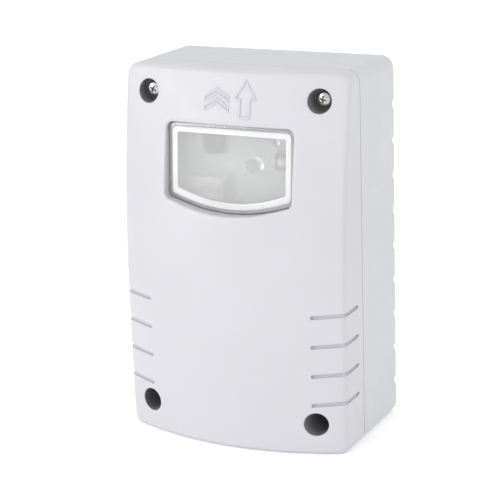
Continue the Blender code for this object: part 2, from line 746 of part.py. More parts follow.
def cover_screws():
    """Pan-head screws with a cross recess, held captive in the cover."""
    tip = SEAT_Y + SCREW_LENGTH
    for place, (x, z) in SCREW_PLACES.items():
        name = f"cover_screw_{place}"
        head_back = -0.1
        profile = [
            (0.0, HEAD_HEIGHT),
            (1.4, HEAD_HEIGHT - 0.08),
            (2.3, HEAD_HEIGHT - 0.55),
            (HEAD_RADIUS, HEAD_HEIGHT - 1.3),
            (HEAD_RADIUS, -head_back),
            (SHANK_RADIUS, -head_back),
            (SHANK_RADIUS, SEAT_Y - tip + 1.6),
            (0.4, SEAT_Y - tip),
            (0.0, SEAT_Y - tip),
        ]
        screw = turned(name, profile, "screw_steel", steps=24, axis="Y")
        screw.location = Vector((x, SEAT_Y, z)) * MM

        front = SEAT_Y - HEAD_HEIGHT
        for label, half_x, half_z in (
            ("slot", CROSS_HALF_LENGTH, CROSS_HALF_WIDTH),
            ("cross_slot", CROSS_HALF_WIDTH, CROSS_HALF_LENGTH),
        ):
            low = (x - half_x, front - CUT_PAST, z - half_z)
            high = (x + half_x, front + CROSS_DEPTH, z + half_z)
            cut_from(screw, f"{name}_{label}", lambda bm, low=low, high=high: box(bm, low, high))


def case_seal():
    inset = HOUSING_WALL + RUNNING_CLEARANCE
    back = -LEDGE_DEPTH - LEDGE_HEIGHT - RUNNING_CLEARANCE
    rounded_ring("housing_seal", inset, inset + SEAL_WIDTH, back, back - SEAL_HEIGHT, "seal_rubber")


def cord_eyelet():
    """The eyelet that guides the lifting cord: its barrel stops short of the case's underside."""
    flange = HOUSING_WALL + RUNNING_CLEARANCE
    barrel = CORD_HOLE_RADIUS - RUNNING_CLEARANCE
    profile = [
        (EYELET_BORE, flange + 0.6),
        (EYELET_BORE + 0.5, flange + 1.0),
        (EYELET_FLANGE, flange + 1.0),
        (EYELET_FLANGE, flange),
        (barrel, flange),
        (barrel, 0.6),
        (EYELET_BORE + 0.4, 0.6),
        (EYELET_BORE, 1.0),
        (EYELET_BORE, flange + 0.6),
    ]
    eyelet = turned("cord_eyelet", profile, "brass")
    eyelet.location = Vector((CORD_X, CORD_Y, 0.0)) * MM


# ---------------------------------------------------------------- the battery bay


def battery_bay():
    right = TRAY_LEFT + TRAY_WIDTH
    top = TRAY_FOOT + TRAY_HEIGHT

    def block(bm):
        box(bm, (TRAY_LEFT, TRAY_FRONT, TRAY_FOOT), (right, TRAY_BACK, top))

    def bay(bm):
        box(bm, (TRAY_LEFT + TRAY_WALL, TRAY_FRONT - CUT_PAST, TRAY_FOOT + TRAY_WALL),
            (right - TRAY_WALL, TRAY_BACK - TRAY_WALL, top - TRAY_WALL))

    def finger_cuts(bm):
        for z in (TRAY_FOOT + TRAY_HEIGHT * 0.3, TRAY_FOOT + TRAY_HEIGHT * 0.7):
            low = (TRAY_LEFT - CUT_PAST, TRAY_FRONT - CUT_PAST, z - FINGER_CUT_HALF)
            box(bm, low, (right + CUT_PAST, TRAY_FRONT + FINGER_CUT_DEPTH, z + FINGER_CUT_HALF))

    tray = mesh_object("battery_tray", block, "frame_plastic")
    cut_from(tray, "tray_bay", bay)
    cut_from(tray, "tray_finger_cuts", finger_cuts)

    inner_foot = TRAY_FOOT + TRAY_WALL
    inner_top = top - TRAY_WALL
    for i, x in enumerate(CELL_X):
        nub_up = i % 2 == 0
        up = 1 if nub_up else -1
        wall = inner_foot if nub_up else inner_top
        pivot = empty(f"cell_{i + 1}_axis", (x, CELL_Y, wall), ROOT)
        if not nub_up:
            pivot.rotation_euler.x = math.pi
        plate = CONTACT_GAP + CONTACT_THICKNESS
        spring_foot = plate + CONTACT_GAP + SPRING_WIRE
        spring_top = spring_foot + SPRING_LENGTH - 2 * SPRING_WIRE
        coil = []
        steps = int(SPRING_TURNS * SPRING_POINTS_A_TURN)
        for step in range(steps + 1):
            share = step / steps
            angle = math.tau * SPRING_TURNS * share
            radius = SPRING_FOOT_RADIUS + (SPRING_TOP_RADIUS - SPRING_FOOT_RADIUS) * share
            height = spring_foot + (spring_top - spring_foot) * share
            coil.append((radius * math.cos(angle), radius * math.sin(angle), height))
        tube(f"battery_spring_{i + 1}", coil, SPRING_WIRE, "spring_steel", pivot, sides_level=0)

        foot = plate + 2 * CONTACT_GAP + SPRING_LENGTH
        shoulder = foot + CELL_LENGTH - CELL_NUB_LENGTH
        profile = [
            (0.0, foot + CELL_LENGTH),
            (CELL_NUB_RADIUS - 0.3, foot + CELL_LENGTH),
            (CELL_NUB_RADIUS, foot + CELL_LENGTH - 0.3),
            (CELL_NUB_RADIUS, shoulder),
            (CELL_RADIUS - 0.6, shoulder),
            (CELL_RADIUS, shoulder - 0.6),
            (CELL_RADIUS, foot + 0.5),
            (CELL_RADIUS - 0.5, foot),
            (0.0, foot),
        ]
        turned(f"battery_{i + 1}", profile, "cell_sleeve", pivot, steps=20)

    links = (
        ("battery_contact_positive", (0,), True),
        ("battery_link_lower_left", (0, 1), False),
        ("battery_link_upper", (1, 2), True),
        ("battery_link_lower_right", (2, 3), False),
        ("battery_contact_negative", (3,), True),
    )
    for name, cells, upper in links:
        low = CELL_X[cells[0]] - CONTACT_HALF
        high = CELL_X[cells[-1]] + CONTACT_HALF
        z = inner_top - CONTACT_GAP - CONTACT_THICKNESS if upper else inner_foot + CONTACT_GAP

        def plate_box(bm):
            front, back = CELL_Y - CONTACT_HALF, CELL_Y + CONTACT_HALF
            rounded_box(bm, (low, front, z), (high, back, z + CONTACT_THICKNESS), 1.2, along=2)

        mesh_object(name, plate_box, "spring_steel")


# ---------------------------------------------------------------- the drive


def gear_blank(bm, teeth, root, tip, root_half, tip_half, rear_y, width, turn=0.0):
    """A toothed disc around the local y axis: straight-flanked teeth, the first one at turn from +x."""
    place = Matrix.Translation(Vector((0.0, rear_y - width / 2, 0.0)) * MM)
    made = bmesh.ops.create_cone(
        bm,
        cap_ends=True,
        segments=4 * teeth,
        radius1=root * MM,
        radius2=root * MM,
        depth=width * MM,
        matrix=place @ Matrix.Rotation(math.pi / 2, 4, "X"),
    )
    step = math.tau / (4 * teeth)
    offsets = (-root_half / root, -tip_half / tip, tip_half / tip, root_half / root)
    radii = (root, tip, tip, root)
    for vert in made["verts"]:
        index = round(math.atan2(vert.co.z, vert.co.x) / step) % (4 * teeth)
        tooth, place = divmod(index, 4)
        angle = math.tau * tooth / teeth + offsets[place] + turn
        vert.co.x = radii[place] * math.cos(angle) * MM
        vert.co.z = radii[place] * math.sin(angle) * MM


def spur(bm, teeth, rear_y, turn=0.0, width=GEAR_WIDTH):
    pitch_radius = MODULE * teeth / 2
    circular_pitch = math.pi * MODULE
    gear_blank(bm, teeth, pitch_radius - 1.1 * MODULE, pitch_radius + 0.75 * MODULE,
               0.34 * circular_pitch, 0.10 * circular_pitch, rear_y, width, turn)


def axle(name, x, pivot_name):
    """An axle that turns in both plates, on the empty that marks its joint's axis."""
    pivot = empty(pivot_name, (x, 0.0, AXLE_Z), ROOT)
    rear = REAR_PLATE_Y + AXLE_SETBACK
    front = FRONT_PLATE_FRONT - AXLE_SETBACK
    pin(name, "shaft_steel", AXLE_RADIUS, (0.0, rear, 0.0), (0.0, front, 0.0), pivot)
    return pivot


def axle_bore(obj, name):
    bore(obj, name, AXLE_RADIUS + AXLE_CLEARANCE, (0.0, 0.0, 0.0), (0.0, FAR_FRONT, 0.0))


def winding_drum():
    """The drum and its gear are one moulding. The pinion's tooth gap faces the drum's first tooth."""
    pivot = axle("drum_shaft", DRUM_X, "drum_axis")
    drum = mesh_object("winding_drum", lambda bm: spur(bm, DRUM_TEETH, GEAR_REAR_Y), "gear_plastic", pivot)
    gear_front = GEAR_REAR_Y - GEAR_WIDTH

    def core(bm):
        rod(bm, DRUM_CORE_RADIUS, (0.0, GEAR_REAR_Y - 1.0, 0.0), (0.0, DRUM_END_Y, 0.0), sides=32)

    def flanges(bm):
        for y in (gear_front - 0.8, DRUM_END_Y + DRUM_FLANGE_THICKNESS - 0.1):
            rod(bm, DRUM_FLANGE_RADIUS, (0.0, y, 0.0), (0.0, y - DRUM_FLANGE_THICKNESS, 0.0), sides=40)

    def cord_hole(bm):
        x = DRUM_CORE_RADIUS + 1.6
        rod(bm, 0.8, (x, DRUM_END_Y - 2.0, 0.0), (x, DRUM_END_Y + 3.0, 0.0), sides=12)

    def web_holes(bm):
        for i in range(WEB_HOLES):
            angle = math.tau * i / WEB_HOLES
            x = WEB_HOLE_CIRCLE * math.cos(angle)
            z = WEB_HOLE_CIRCLE * math.sin(angle)
            rod(bm, WEB_HOLE_RADIUS, (x, 0.0, z), (x, gear_front - CUT_PAST, z), sides=16)

    join_to(drum, "drum_core", core)
    join_to(drum, "drum_flanges", flanges)
    cut_from(drum, "drum_web_holes", web_holes)
    cut_from(drum, "drum_cord_hole", cord_hole)
    axle_bore(drum, "drum_bore")


def reduction_gear():
    """Worm wheel and pinion in one moulding."""
    pivot = axle("reduction_shaft", PINION_X, "reduction_axis")
    half_tooth = math.pi / PINION_TEETH
    gear = mesh_object(
        "reduction_gear", lambda bm: spur(bm, PINION_TEETH, GEAR_REAR_Y, half_tooth), "gear_plastic", pivot
    )
    wheel_rear = WORM_Y + WORM_WHEEL_WIDTH / 2
    pitch_radius = WORM_WHEEL_RADIUS

    def wheel(bm):
        gear_blank(bm, WORM_WHEEL_TEETH, pitch_radius - 0.9, pitch_radius + 0.6, 0.62, 0.35,
                   wheel_rear, WORM_WHEEL_WIDTH)

    def hub(bm):
        rod(bm, HUB_RADIUS, (0.0, GEAR_REAR_Y - 1.0, 0.0), (0.0, FRONT_PLATE_Y + 0.5, 0.0))

    join_to(gear, "reduction_wheel", wheel)
    join_to(gear, "reduction_hub", hub)
    axle_bore(gear, "reduction_bore")


def worm_thread(bm):
    """One start, right-handed. On the side that faces the worm wheel, a gap lies level with its axle."""
    root, tip = WORM_CORE_RADIUS - 0.4, WORM_TIP_RADIUS
    profile = bpy.data.meshes.new("thread_profile")
    foot, crest = WORM_THREAD_FOOT, WORM_THREAD_TIP
    corners = [(root, -foot), (tip, -crest), (tip, crest), (root, foot)]
    points = [Vector((-radius, 0.0, height - WORM_HALF_LENGTH)) * MM for radius, height in corners]
    profile.from_pydata(points, [(0, 1), (1, 2), (2, 3), (3, 0)], [])
    thread = put("worm_thread_profile", profile, ROOT)
    screw = thread.modifiers.new("thread", "SCREW")
    screw.screw_offset = WORM_LEAD * MM
    screw.iterations = WORM_TURNS
    screw.steps = screw.render_steps = 16
    screw.use_merge_vertices = False
    solid = to_mesh(thread)
    bm.from_mesh(solid.data)
    bpy.data.objects.remove(solid, do_unlink=True)


def motor_and_worm(gear_frame):
    pivot = empty("worm_axis", (WORM_X, WORM_Y, AXLE_Z), ROOT)
    half = WORM_HALF_LENGTH + 0.8
    worm = pin("worm", "gear_plastic", WORM_CORE_RADIUS, (0.0, 0.0, -half), (0.0, 0.0, half), pivot)
    join_to(worm, "worm_thread", worm_thread)
    past = half + CUT_PAST
    bore(worm, "worm_bore", MOTOR_SHAFT_RADIUS + AXLE_CLEARANCE, (0.0, 0.0, -past), (0.0, 0.0, past))
    shaft_foot = (0.0, 0.0, MOTOR_TOP - MOTOR_BORE + 1.0 - AXLE_Z)
    pin("motor_shaft", "shaft_steel", MOTOR_SHAFT_RADIUS, shaft_foot, (0.0, 0.0, MOTOR_SHAFT_TOP), pivot)

    def motor_block(bm, trim, foot, top, rounding):
        half_x = MOTOR_WIDTH / 2 - trim
        half_y = MOTOR_DEPTH / 2 - trim
        rounded_box(bm, (WORM_X - half_x, WORM_Y - half_y, foot),
                    (WORM_X + half_x, WORM_Y + half_y, top), rounding, along=2, segments=4)

    can_foot = MOTOR_TOP - MOTOR_LENGTH
    cap_top = can_foot - RUNNING_CLEARANCE
    can = mesh_object("motor_can", lambda bm: motor_block(bm, 0.0, can_foot, MOTOR_TOP, 2.4), "motor_steel")
    bore(can, "motor_bore", MOTOR_SHAFT_RADIUS + RUNNING_CLEARANCE,
         (WORM_X, WORM_Y, MOTOR_TOP - MOTOR_BORE), (WORM_X, WORM_Y, MOTOR_TOP + CUT_PAST), sides=16)
    mesh_object("motor_end_cap", lambda bm: motor_block(bm, 0.5, cap_top - MOTOR_CAP_LENGTH, cap_top, 2.0),
                "motor_plastic")

    tab_top = AXLE_Z + WORM_TAB_TOP
    bush_profile = ring_profile(WORM_BUSH_RADIUS, MOTOR_SHAFT_RADIUS + AXLE_CLEARANCE, tab_top,
                                tab_top - TAB_THICKNESS)
    bush = turned("worm_bush", bush_profile, "brass")
    bush.location = Vector((WORM_X, WORM_Y, 0.0)) * MM

    def tabs(bm):
        for foot in (FRAME_FOOT, tab_top - TAB_THICKNESS):
            low = (WORM_X - TAB_HALF_WIDTH, WORM_Y - MOTOR_DEPTH / 2, foot)
            box(bm, low, (WORM_X + TAB_HALF_WIDTH, REAR_PLATE_Y - 1.0, foot + TAB_THICKNESS))

    def tab_holes(bm):
        for foot, radius in ((FRAME_FOOT, 2.2), (tab_top - TAB_THICKNESS, WORM_BUSH_RADIUS + 0.1)):
            top = foot + TAB_THICKNESS + CUT_PAST
            rod(bm, radius, (WORM_X, WORM_Y, foot - CUT_PAST), (WORM_X, WORM_Y, top))

    join_to(gear_frame, "motor_tabs", tabs)
    cut_from(gear_frame, "motor_tab_holes", tab_holes)


def gear_frame():
    """Rear plate with its pillars, and the front plate. Long screws hold both to the housing."""

    def rear(bm):
        low = (FRAME_LEFT, REAR_PLATE_Y - PLATE_THICKNESS, FRAME_FOOT)
        box(bm, low, (FRAME_RIGHT, REAR_PLATE_Y, FRAME_TOP))

    def front(bm):
        rounded_box(bm, (FRAME_LEFT, FRONT_PLATE_FRONT, FRAME_FOOT + 1.0),
                    (FRONT_PLATE_RIGHT, FRONT_PLATE_Y, FRAME_TOP), 3.2, along=1)

    def pillars(bm):
        end = FRONT_PLATE_Y + RUNNING_CLEARANCE
        for x, z in PILLARS:
            rod(bm, PILLAR_RADIUS, (x, REAR_PLATE_Y - 1.0, z), (x, end, z), sides=16)

    def screw_holes(bm):
        end = FRONT_PLATE_FRONT - CUT_PAST
        for x, z in PILLARS:
            rod(bm, FRAME_SCREW_RADIUS + RUNNING_CLEARANCE, (x, 0.0, z), (x, end, z), sides=12)

    def bush_holes(bm):
        for x in (DRUM_X, PINION_X):
            rod(bm, BUSH_RADIUS + 0.1, (x, 0.0, AXLE_Z), (x, FRONT_PLATE_FRONT - 1.0, AXLE_Z))

    def board_posts(bm):
        for x, z in BOARD_SCREWS:
            end = BOARD_Y + RUNNING_CLEARANCE
            rod(bm, BOARD_POST_RADIUS, (x, FRONT_PLATE_Y - 1.0, z), (x, end, z), sides=16)

    def board_screw_holes(bm):
        for x, z in BOARD_SCREWS:
            start, end = FRONT_PLATE_Y + CUT_PAST, BOARD_Y - CUT_PAST
            rod(bm, BOARD_SCREW_HOLE, (x, start, z), (x, end, z), sides=12)

    frame = mesh_object("gear_frame", rear, "frame_plastic")
    join_to(frame, "frame_pillars", pillars)
    cut_from(frame, "frame_screw_holes", screw_holes)
    cut_from(frame, "frame_bush_holes", bush_holes)
    plate = mesh_object("gear_frame_plate", front, "frame_plastic")
    join_to(plate, "plate_board_posts", board_posts)
    cut_from(plate, "plate_screw_holes", screw_holes)
    cut_from(plate, "plate_bush_holes", bush_holes)
    cut_from(plate, "plate_board_screw_holes", board_screw_holes)

    bush_profile = ring_profile(BUSH_RADIUS, AXLE_RADIUS + AXLE_CLEARANCE, PLATE_THICKNESS, 0.0)
    for label, x in (("drum", DRUM_X), ("reduction", PINION_X)):
        for side, rear_y in (("rear", REAR_PLATE_Y), ("front", FRONT_PLATE_Y)):
            bush = turned(f"{label}_bush_{side}", bush_profile, "brass", axis="Y")
            bush.location = Vector((x, rear_y, AXLE_Z)) * MM

    for i, (x, z) in enumerate(PILLARS):
        small_screw(f"frame_screw_{i + 1}", x, z, FRONT_PLATE_FRONT - 0.1, FRAME_SCREW_HEAD, 1.2,
                    FRAME_SCREW_RADIUS, FRAME_SCREW_LENGTH)
    for i, (x, z) in enumerate(BOARD_SCREWS):
        small_screw(f"board_screw_{i + 1}", x, z, BOARD_FRONT - 0.1, 1.9, 1.1, 1.0, 4.6)
    return frame


def small_screw(name, x, z, seat_y, head_radius, head_height, radius, length):
    profile = [
        (0.0, head_height),
        (head_radius * 0.7, head_height - 0.1),
        (head_radius, head_height * 0.4),
        (head_radius, 0.0),
        (radius, 0.0),
        (radius, -length + 0.6),
        (0.0, -length),
    ]
    screw = turned(name, profile, "screw_steel", steps=16, axis="Y")
    screw.location = Vector((x, seat_y, z)) * MM


# ---------------------------------------------------------------- the limit switch


def limit_switch():
    ear_low = LEVER_PIN_Z - 1.6
    rear_ear = SWITCH_HIGH[1] - EAR_THICKNESS
    front_ear = SWITCH_LOW[1] + EAR_THICKNESS
    lever_rear = rear_ear - RUNNING_CLEARANCE
    lever_front = front_ear + RUNNING_CLEARANCE

    def ears(bm):
        top = SWITCH_LOW[2] + 1.0
        for low_y, high_y in ((SWITCH_LOW[1], front_ear), (rear_ear, SWITCH_HIGH[1])):
            low = (LEVER_PIN_X - EAR_HALF_WIDTH, low_y, ear_low)
            box(bm, low, (LEVER_PIN_X + EAR_HALF_WIDTH, high_y, top))

    body = mesh_object("limit_switch", lambda bm: box(bm, SWITCH_LOW, SWITCH_HIGH), "part_black")
    join_to(body, "switch_ears", ears)
    hole_radius = LEVER_PIN_RADIUS + LEVER_CLEARANCE
    bore(body, "switch_pin_holes", hole_radius, (LEVER_PIN_X, 0.0, LEVER_PIN_Z),
         (LEVER_PIN_X, FAR_FRONT, LEVER_PIN_Z), sides=20)
    pin("lever_pin", "shaft_steel", LEVER_PIN_RADIUS, (LEVER_PIN_X, SWITCH_HIGH[1], LEVER_PIN_Z),
        (LEVER_PIN_X, SWITCH_LOW[1], LEVER_PIN_Z), sides=20)

    pivot = empty("lever_axis", (LEVER_PIN_X, 0.0, LEVER_PIN_Z), ROOT)
    tip = LEVER_TIP_X - LEVER_PIN_X
    cord = CORD_X - LEVER_PIN_X

    def blade(bm):
        half = LEVER_THICKNESS / 2
        rounded_box(bm, (0.0, lever_front, -half), (tip, lever_rear, half), 0.9, along=2)

    def barrel(bm):
        rod(bm, LEVER_BARREL_RADIUS, (0.0, lever_rear, 0.0), (0.0, lever_front, 0.0), sides=20)

    lever = mesh_object("limit_lever", blade, "spring_steel", pivot)
    join_to(lever, "lever_barrel", barrel)
    bore(lever, "lever_bore", hole_radius, (0.0, 0.0, 0.0), (0.0, FAR_FRONT, 0.0), sides=20)
    bore(lever, "lever_cord_hole", LEVER_CORD_HOLE_RADIUS, (cord, CORD_Y, -3.0), (cord, CORD_Y, 3.0), 20)


# ---------------------------------------------------------------- the circuit board


def circuit_board():
    front = BOARD_FRONT - 0.2

    def board(bm):
        low = (-BOARD_HALF_WIDTH, BOARD_FRONT, BOARD_FOOT)
        rounded_box(bm, low, (BOARD_HALF_WIDTH, BOARD_Y, BOARD_TOP), 1.2, along=1)

    def screw_holes(bm):
        for x, z in BOARD_SCREWS:
            start, end = BOARD_Y + CUT_PAST, BOARD_FRONT - CUT_PAST
            rod(bm, BOARD_SCREW_HOLE, (x, start, z), (x, end, z), sides=12)

    plate = mesh_object("circuit_board", board, "board_white")
    cut_from(plate, "board_screw_holes", screw_holes)

    terminal_left, terminal_foot = TERMINAL_LOW
    terminal_right, terminal_top = TERMINAL_HIGH

    def terminals(bm):
        low = (terminal_left, front - TERMINAL_HEIGHT, terminal_foot)
        rounded_box(bm, low, (terminal_right, front, terminal_top), 0.6, along=1)

    def terminal_slots(bm):
        first = (terminal_left + terminal_right - TERMINAL_PITCH * (TERMINAL_COUNT - 1)) / 2
        for i in range(TERMINAL_COUNT):
            x = first + TERMINAL_PITCH * i
            low = (x - 0.9, front - TERMINAL_HEIGHT - CUT_PAST, terminal_foot + 1.6)
            box(bm, low, (x + 0.9, front - TERMINAL_HEIGHT / 2, terminal_foot + 4.2))

    block = mesh_object("terminal_block", terminals, "part_white")
    cut_from(block, "terminal_slots", terminal_slots)

    def chip(bm):
        (left, foot), (right, top) = CHIP_LOW, CHIP_HIGH
        rounded_box(bm, (left, front - CHIP_HEIGHT, foot), (right, front, top), 0.4, along=1)

    mesh_object("controller_chip", chip, "part_black")

    x, z = SENSOR_AT
    dome = [(0.0, 6.2), (1.3, 5.9), (2.2, 5.0), (SENSOR_RADIUS, 3.8), (SENSOR_RADIUS, 1.0),
            (SENSOR_RADIUS + 0.3, 1.0), (SENSOR_RADIUS + 0.3, 0.0), (0.0, 0.0)]
    sensor = turned("light_sensor", dome, "clear_plastic", steps=24, axis="Y")
    sensor.location = Vector((x, front, z)) * MM

    x, z = LED_AT
    led_dome = [(0.0, 2.6), (0.9, 2.3), (LED_RADIUS, 1.4), (LED_RADIUS, 0.0), (0.0, 0.0)]
    led = turned("status_led", led_dome, "clear_plastic", steps=16, axis="Y")
    led.location = Vector((x, front, z)) * MM

    x, z = BUTTON_AT
    half = BUTTON_SIDE / 2
    body_front = front - BUTTON_HEIGHT

    def shell(bm):
        rounded_box(bm, (x - half, body_front, z - half), (x + half, front, z + half), 0.5, along=1)

    body = mesh_object("button_body", shell, "part_black")
    bore(body, "button_well", BUTTON_CAP_RADIUS + 0.2, (x, body_front - CUT_PAST, z), (x, front - 0.8, z))
    pivot = empty("button_axis", (x, body_front, z), ROOT)
    pin("button_cap", "part_white", BUTTON_CAP_RADIUS, (0.0, BUTTON_HEIGHT / 2, 0.0),
        (0.0, -BUTTON_CAP_PROUD, 0.0), pivot)


def bend(points, per_span=5):
    """Points along a smooth curve through the given ones."""
    ends = [points[0], *points, points[-1]]
    places = [Vector(point) for point in ends]
    path = []
    for before, start, end, after in zip(places, places[1:], places[2:], places[3:]):
        for step in range(per_span):
            t = step / per_span
            path.append(0.5 * (2 * start + (end - before) * t
                               + (2 * before - 5 * start + 4 * end - after) * t**2
                               + (3 * start - before - 3 * end + after) * t**3))
    path.append(places[-1])
    return path


def leads():
    """Wires from the battery bay and the motor to the board's edge. They lie held against the frame."""
    tray_top = TRAY_FOOT + TRAY_HEIGHT + 0.4
    board_edge = BOARD_Y + 0.6
    for name, start_x, across, rise, material in (
        ("battery_lead_red", CELL_X[0] - 1.0, -34.6, 0.0, "wire_red"),
        ("battery_lead_black", CELL_X[0] + 3.5, -32.2, 3.0, "wire_black"),
    ):
        route = [
            (start_x, CELL_Y - 7.6, tray_top),
            (start_x - 1.0, CELL_Y - 10.5, tray_top + 0.3),
            (across, CELL_Y - 13.0, tray_top + 4.0),
            (across, board_edge + 1.5, tray_top + 12.0 + rise),
            (-BOARD_HALF_WIDTH - 1.0, board_edge - 1.0, tray_top + 16.0 + rise),
        ]
        tube(name, bend(route), WIRE_RADIUS, material, sides_level=1)
    motor_foot = MOTOR_TOP - MOTOR_LENGTH - 3.2
    for name, start_x, material in (
        ("motor_lead_red", WORM_X + 2.0, "wire_red"),
        ("motor_lead_black", WORM_X - 2.0, "wire_black"),
    ):
        route = [
            (start_x, WORM_Y, motor_foot),
            (start_x, WORM_Y - 3.0, motor_foot - 2.2),
            (start_x, WORM_Y - 8.4, motor_foot + 1.5),
            (start_x, WORM_Y - 9.0, motor_foot + 14.0),
            (start_x, WORM_Y - 10.0, motor_foot + 26.0),
            (start_x - 1.0, board_edge + 2.0, motor_foot + 36.0),
            (BOARD_HALF_WIDTH + 1.0 + (start_x - WORM_X + 2.0) * 0.5, board_edge - 0.6, motor_foot + 40.0),
        ]
        tube(name, bend(route), WIRE_RADIUS, material, sides_level=1)


middle_z = (WINDOW_TOP + WINDOW_SIDE_FOOT) / 2
pane = empty("window_plane", (0.0, -(REAR_DEPTH + WINDOW_DEPTH), middle_z), ROOT)
pane.rotation_euler.x = -WINDOW_TILT
bpy.context.view_layer.update()

rear_housing()
front_cover(pane)
window(pane)
cover_screws()
case_seal()
cord_eyelet()
battery_bay()
frame = gear_frame()
winding_drum()
reduction_gear()
motor_and_worm(frame)
limit_switch()
circuit_board()
leads()
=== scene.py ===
# %% [markdown]
# # A coop door opener, piece by piece
# The object is a small plastic case that screws to the wall of a hen house. A motor inside winds a
# cord, and the cord lifts the door. The frame below holds every piece at its real size, in metres,
# with +Z up, -Y towards the viewer and the middle of the wall face at the origin. This lesson
# replaces the plain solids with finished ones and gives each a material.

# %% The frame
import json
import math

import bpy
from mathutils import Matrix, Vector


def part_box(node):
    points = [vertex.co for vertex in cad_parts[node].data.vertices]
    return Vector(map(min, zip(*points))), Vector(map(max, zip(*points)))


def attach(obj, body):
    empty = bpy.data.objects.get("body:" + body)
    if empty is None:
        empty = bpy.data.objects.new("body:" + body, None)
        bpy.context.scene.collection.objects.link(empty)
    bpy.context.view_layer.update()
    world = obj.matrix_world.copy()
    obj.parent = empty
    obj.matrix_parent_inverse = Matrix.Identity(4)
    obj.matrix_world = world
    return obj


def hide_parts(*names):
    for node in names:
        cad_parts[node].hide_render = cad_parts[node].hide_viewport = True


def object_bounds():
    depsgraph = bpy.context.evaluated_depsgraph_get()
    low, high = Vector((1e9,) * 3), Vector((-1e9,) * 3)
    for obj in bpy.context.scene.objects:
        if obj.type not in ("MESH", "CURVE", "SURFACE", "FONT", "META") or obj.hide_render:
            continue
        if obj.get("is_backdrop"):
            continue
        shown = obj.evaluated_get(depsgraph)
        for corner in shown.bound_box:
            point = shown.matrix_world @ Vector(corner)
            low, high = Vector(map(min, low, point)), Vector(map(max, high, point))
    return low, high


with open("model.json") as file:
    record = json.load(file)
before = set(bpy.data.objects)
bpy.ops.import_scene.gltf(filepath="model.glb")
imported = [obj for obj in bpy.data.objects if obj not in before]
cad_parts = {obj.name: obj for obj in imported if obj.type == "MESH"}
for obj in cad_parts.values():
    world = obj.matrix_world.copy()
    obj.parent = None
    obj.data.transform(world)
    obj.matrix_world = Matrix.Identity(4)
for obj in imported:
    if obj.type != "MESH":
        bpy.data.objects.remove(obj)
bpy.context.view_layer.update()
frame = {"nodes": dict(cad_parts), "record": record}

MM = 0.001
BODY_OF = {node: body for body, nodes in frame["record"]["behaviour"]["bodies"].items() for node in nodes}

# %% [markdown]
# ## Working by hand, in code
# Blender's operators act on whatever is selected, so every helper first clears the selection. The
# helpers are few: make one object active, apply its modifiers, cut or join with another solid, and
# hand a finished piece to the frame.

# %% Selection, modifiers and Booleans
def only(obj):
    bpy.ops.object.select_all(action="DESELECT")
    obj.select_set(True)
    bpy.context.view_layer.objects.active = obj
    return obj


def edit_all(obj):
    only(obj)
    bpy.ops.object.mode_set(mode="EDIT")
    bpy.ops.mesh.select_all(action="SELECT")


def leave_edit():
    bpy.ops.object.mode_set(mode="OBJECT")


def settle(obj):
    """Puts the object's place into its mesh."""
    only(obj)
    bpy.ops.object.transform_apply(location=True, rotation=True, scale=True)
    return obj


def modify(obj, kind, **settings):
    """Adds one modifier and applies it."""
    only(obj)
    modifier = obj.modifiers.new(kind.lower(), kind)
    for key, value in settings.items():
        setattr(modifier, key, value)
    bpy.ops.object.modifier_apply(modifier=modifier.name)
    return obj


def combine(obj, operation, *others):
    for other in others:
        modify(obj, "BOOLEAN", operation=operation, object=other, solver="EXACT")
        bpy.data.objects.remove(other, do_unlink=True)
    return obj


def outward(obj, weld=0.000002):
    edit_all(obj)
    bpy.ops.mesh.remove_doubles(threshold=weld)
    bpy.ops.mesh.normals_make_consistent(inside=False)
    leave_edit()
    return obj


def smooth(obj, angle=32.0):
    only(obj)
    bpy.ops.object.shade_smooth_by_angle(angle=math.radians(angle))
    return obj


# %% [markdown]
# ## Rings
# Most of this object is a shape between rings: the case, the window and the mouths of the holes all
# follow a closed outline that shrinks or grows as it goes deeper. A grid primitive is one row of
# points for each ring; its two long sides are welded into a seam, and its open ends are filled.

# %% A skin through rings of points
def skin(name, rings, fill=True):
    around = len(rings[0])
    bpy.ops.object.select_all(action="DESELECT")
    bpy.ops.mesh.primitive_grid_add(x_subdivisions=around, y_subdivisions=len(rings) - 1, size=1.0)
    obj = bpy.context.object
    obj.name = name
    for index, vert in enumerate(obj.data.vertices):
        row, column = divmod(index, around + 1)
        vert.co = Vector(rings[row][column % around]) * MM
    edit_all(obj)
    bpy.ops.mesh.remove_doubles(threshold=0.000001)
    if fill:
        bpy.ops.mesh.select_all(action="SELECT")
        bpy.ops.mesh.fill_holes(sides=0)
    bpy.ops.mesh.select_all(action="SELECT")
    bpy.ops.mesh.normals_make_consistent(inside=False)
    leave_edit()
    return obj


def circle(centre_x, centre_z, radius, count=48):
    turns = [math.tau * i / count for i in range(count)]
    return [(centre_x + radius * math.cos(turn), centre_z + radius * math.sin(turn)) for turn in turns]


def rod(name, radius, start, end, sides=48):
    """A cylinder between two points, in millimetres."""
    start, end = Vector(start) * MM, Vector(end) * MM
    bpy.ops.object.select_all(action="DESELECT")
    bpy.ops.mesh.primitive_cylinder_add(
        vertices=sides, radius=radius * MM, depth=(end - start).length, location=(start + end) / 2,
        rotation=(end - start).to_track_quat("Z", "Y").to_euler(),
    )
    obj = bpy.context.object
    obj.name = name
    return settle(obj)


# %% [markdown]
# ## The size of the case
# The outline is a tall rectangle with rounded corners, softer at the top than at the foot. The front
# bulges across its width, and above a shoulder its profile leans back towards the top edge. One
# function gives the front's place at any point, so every hole and mark can follow it.

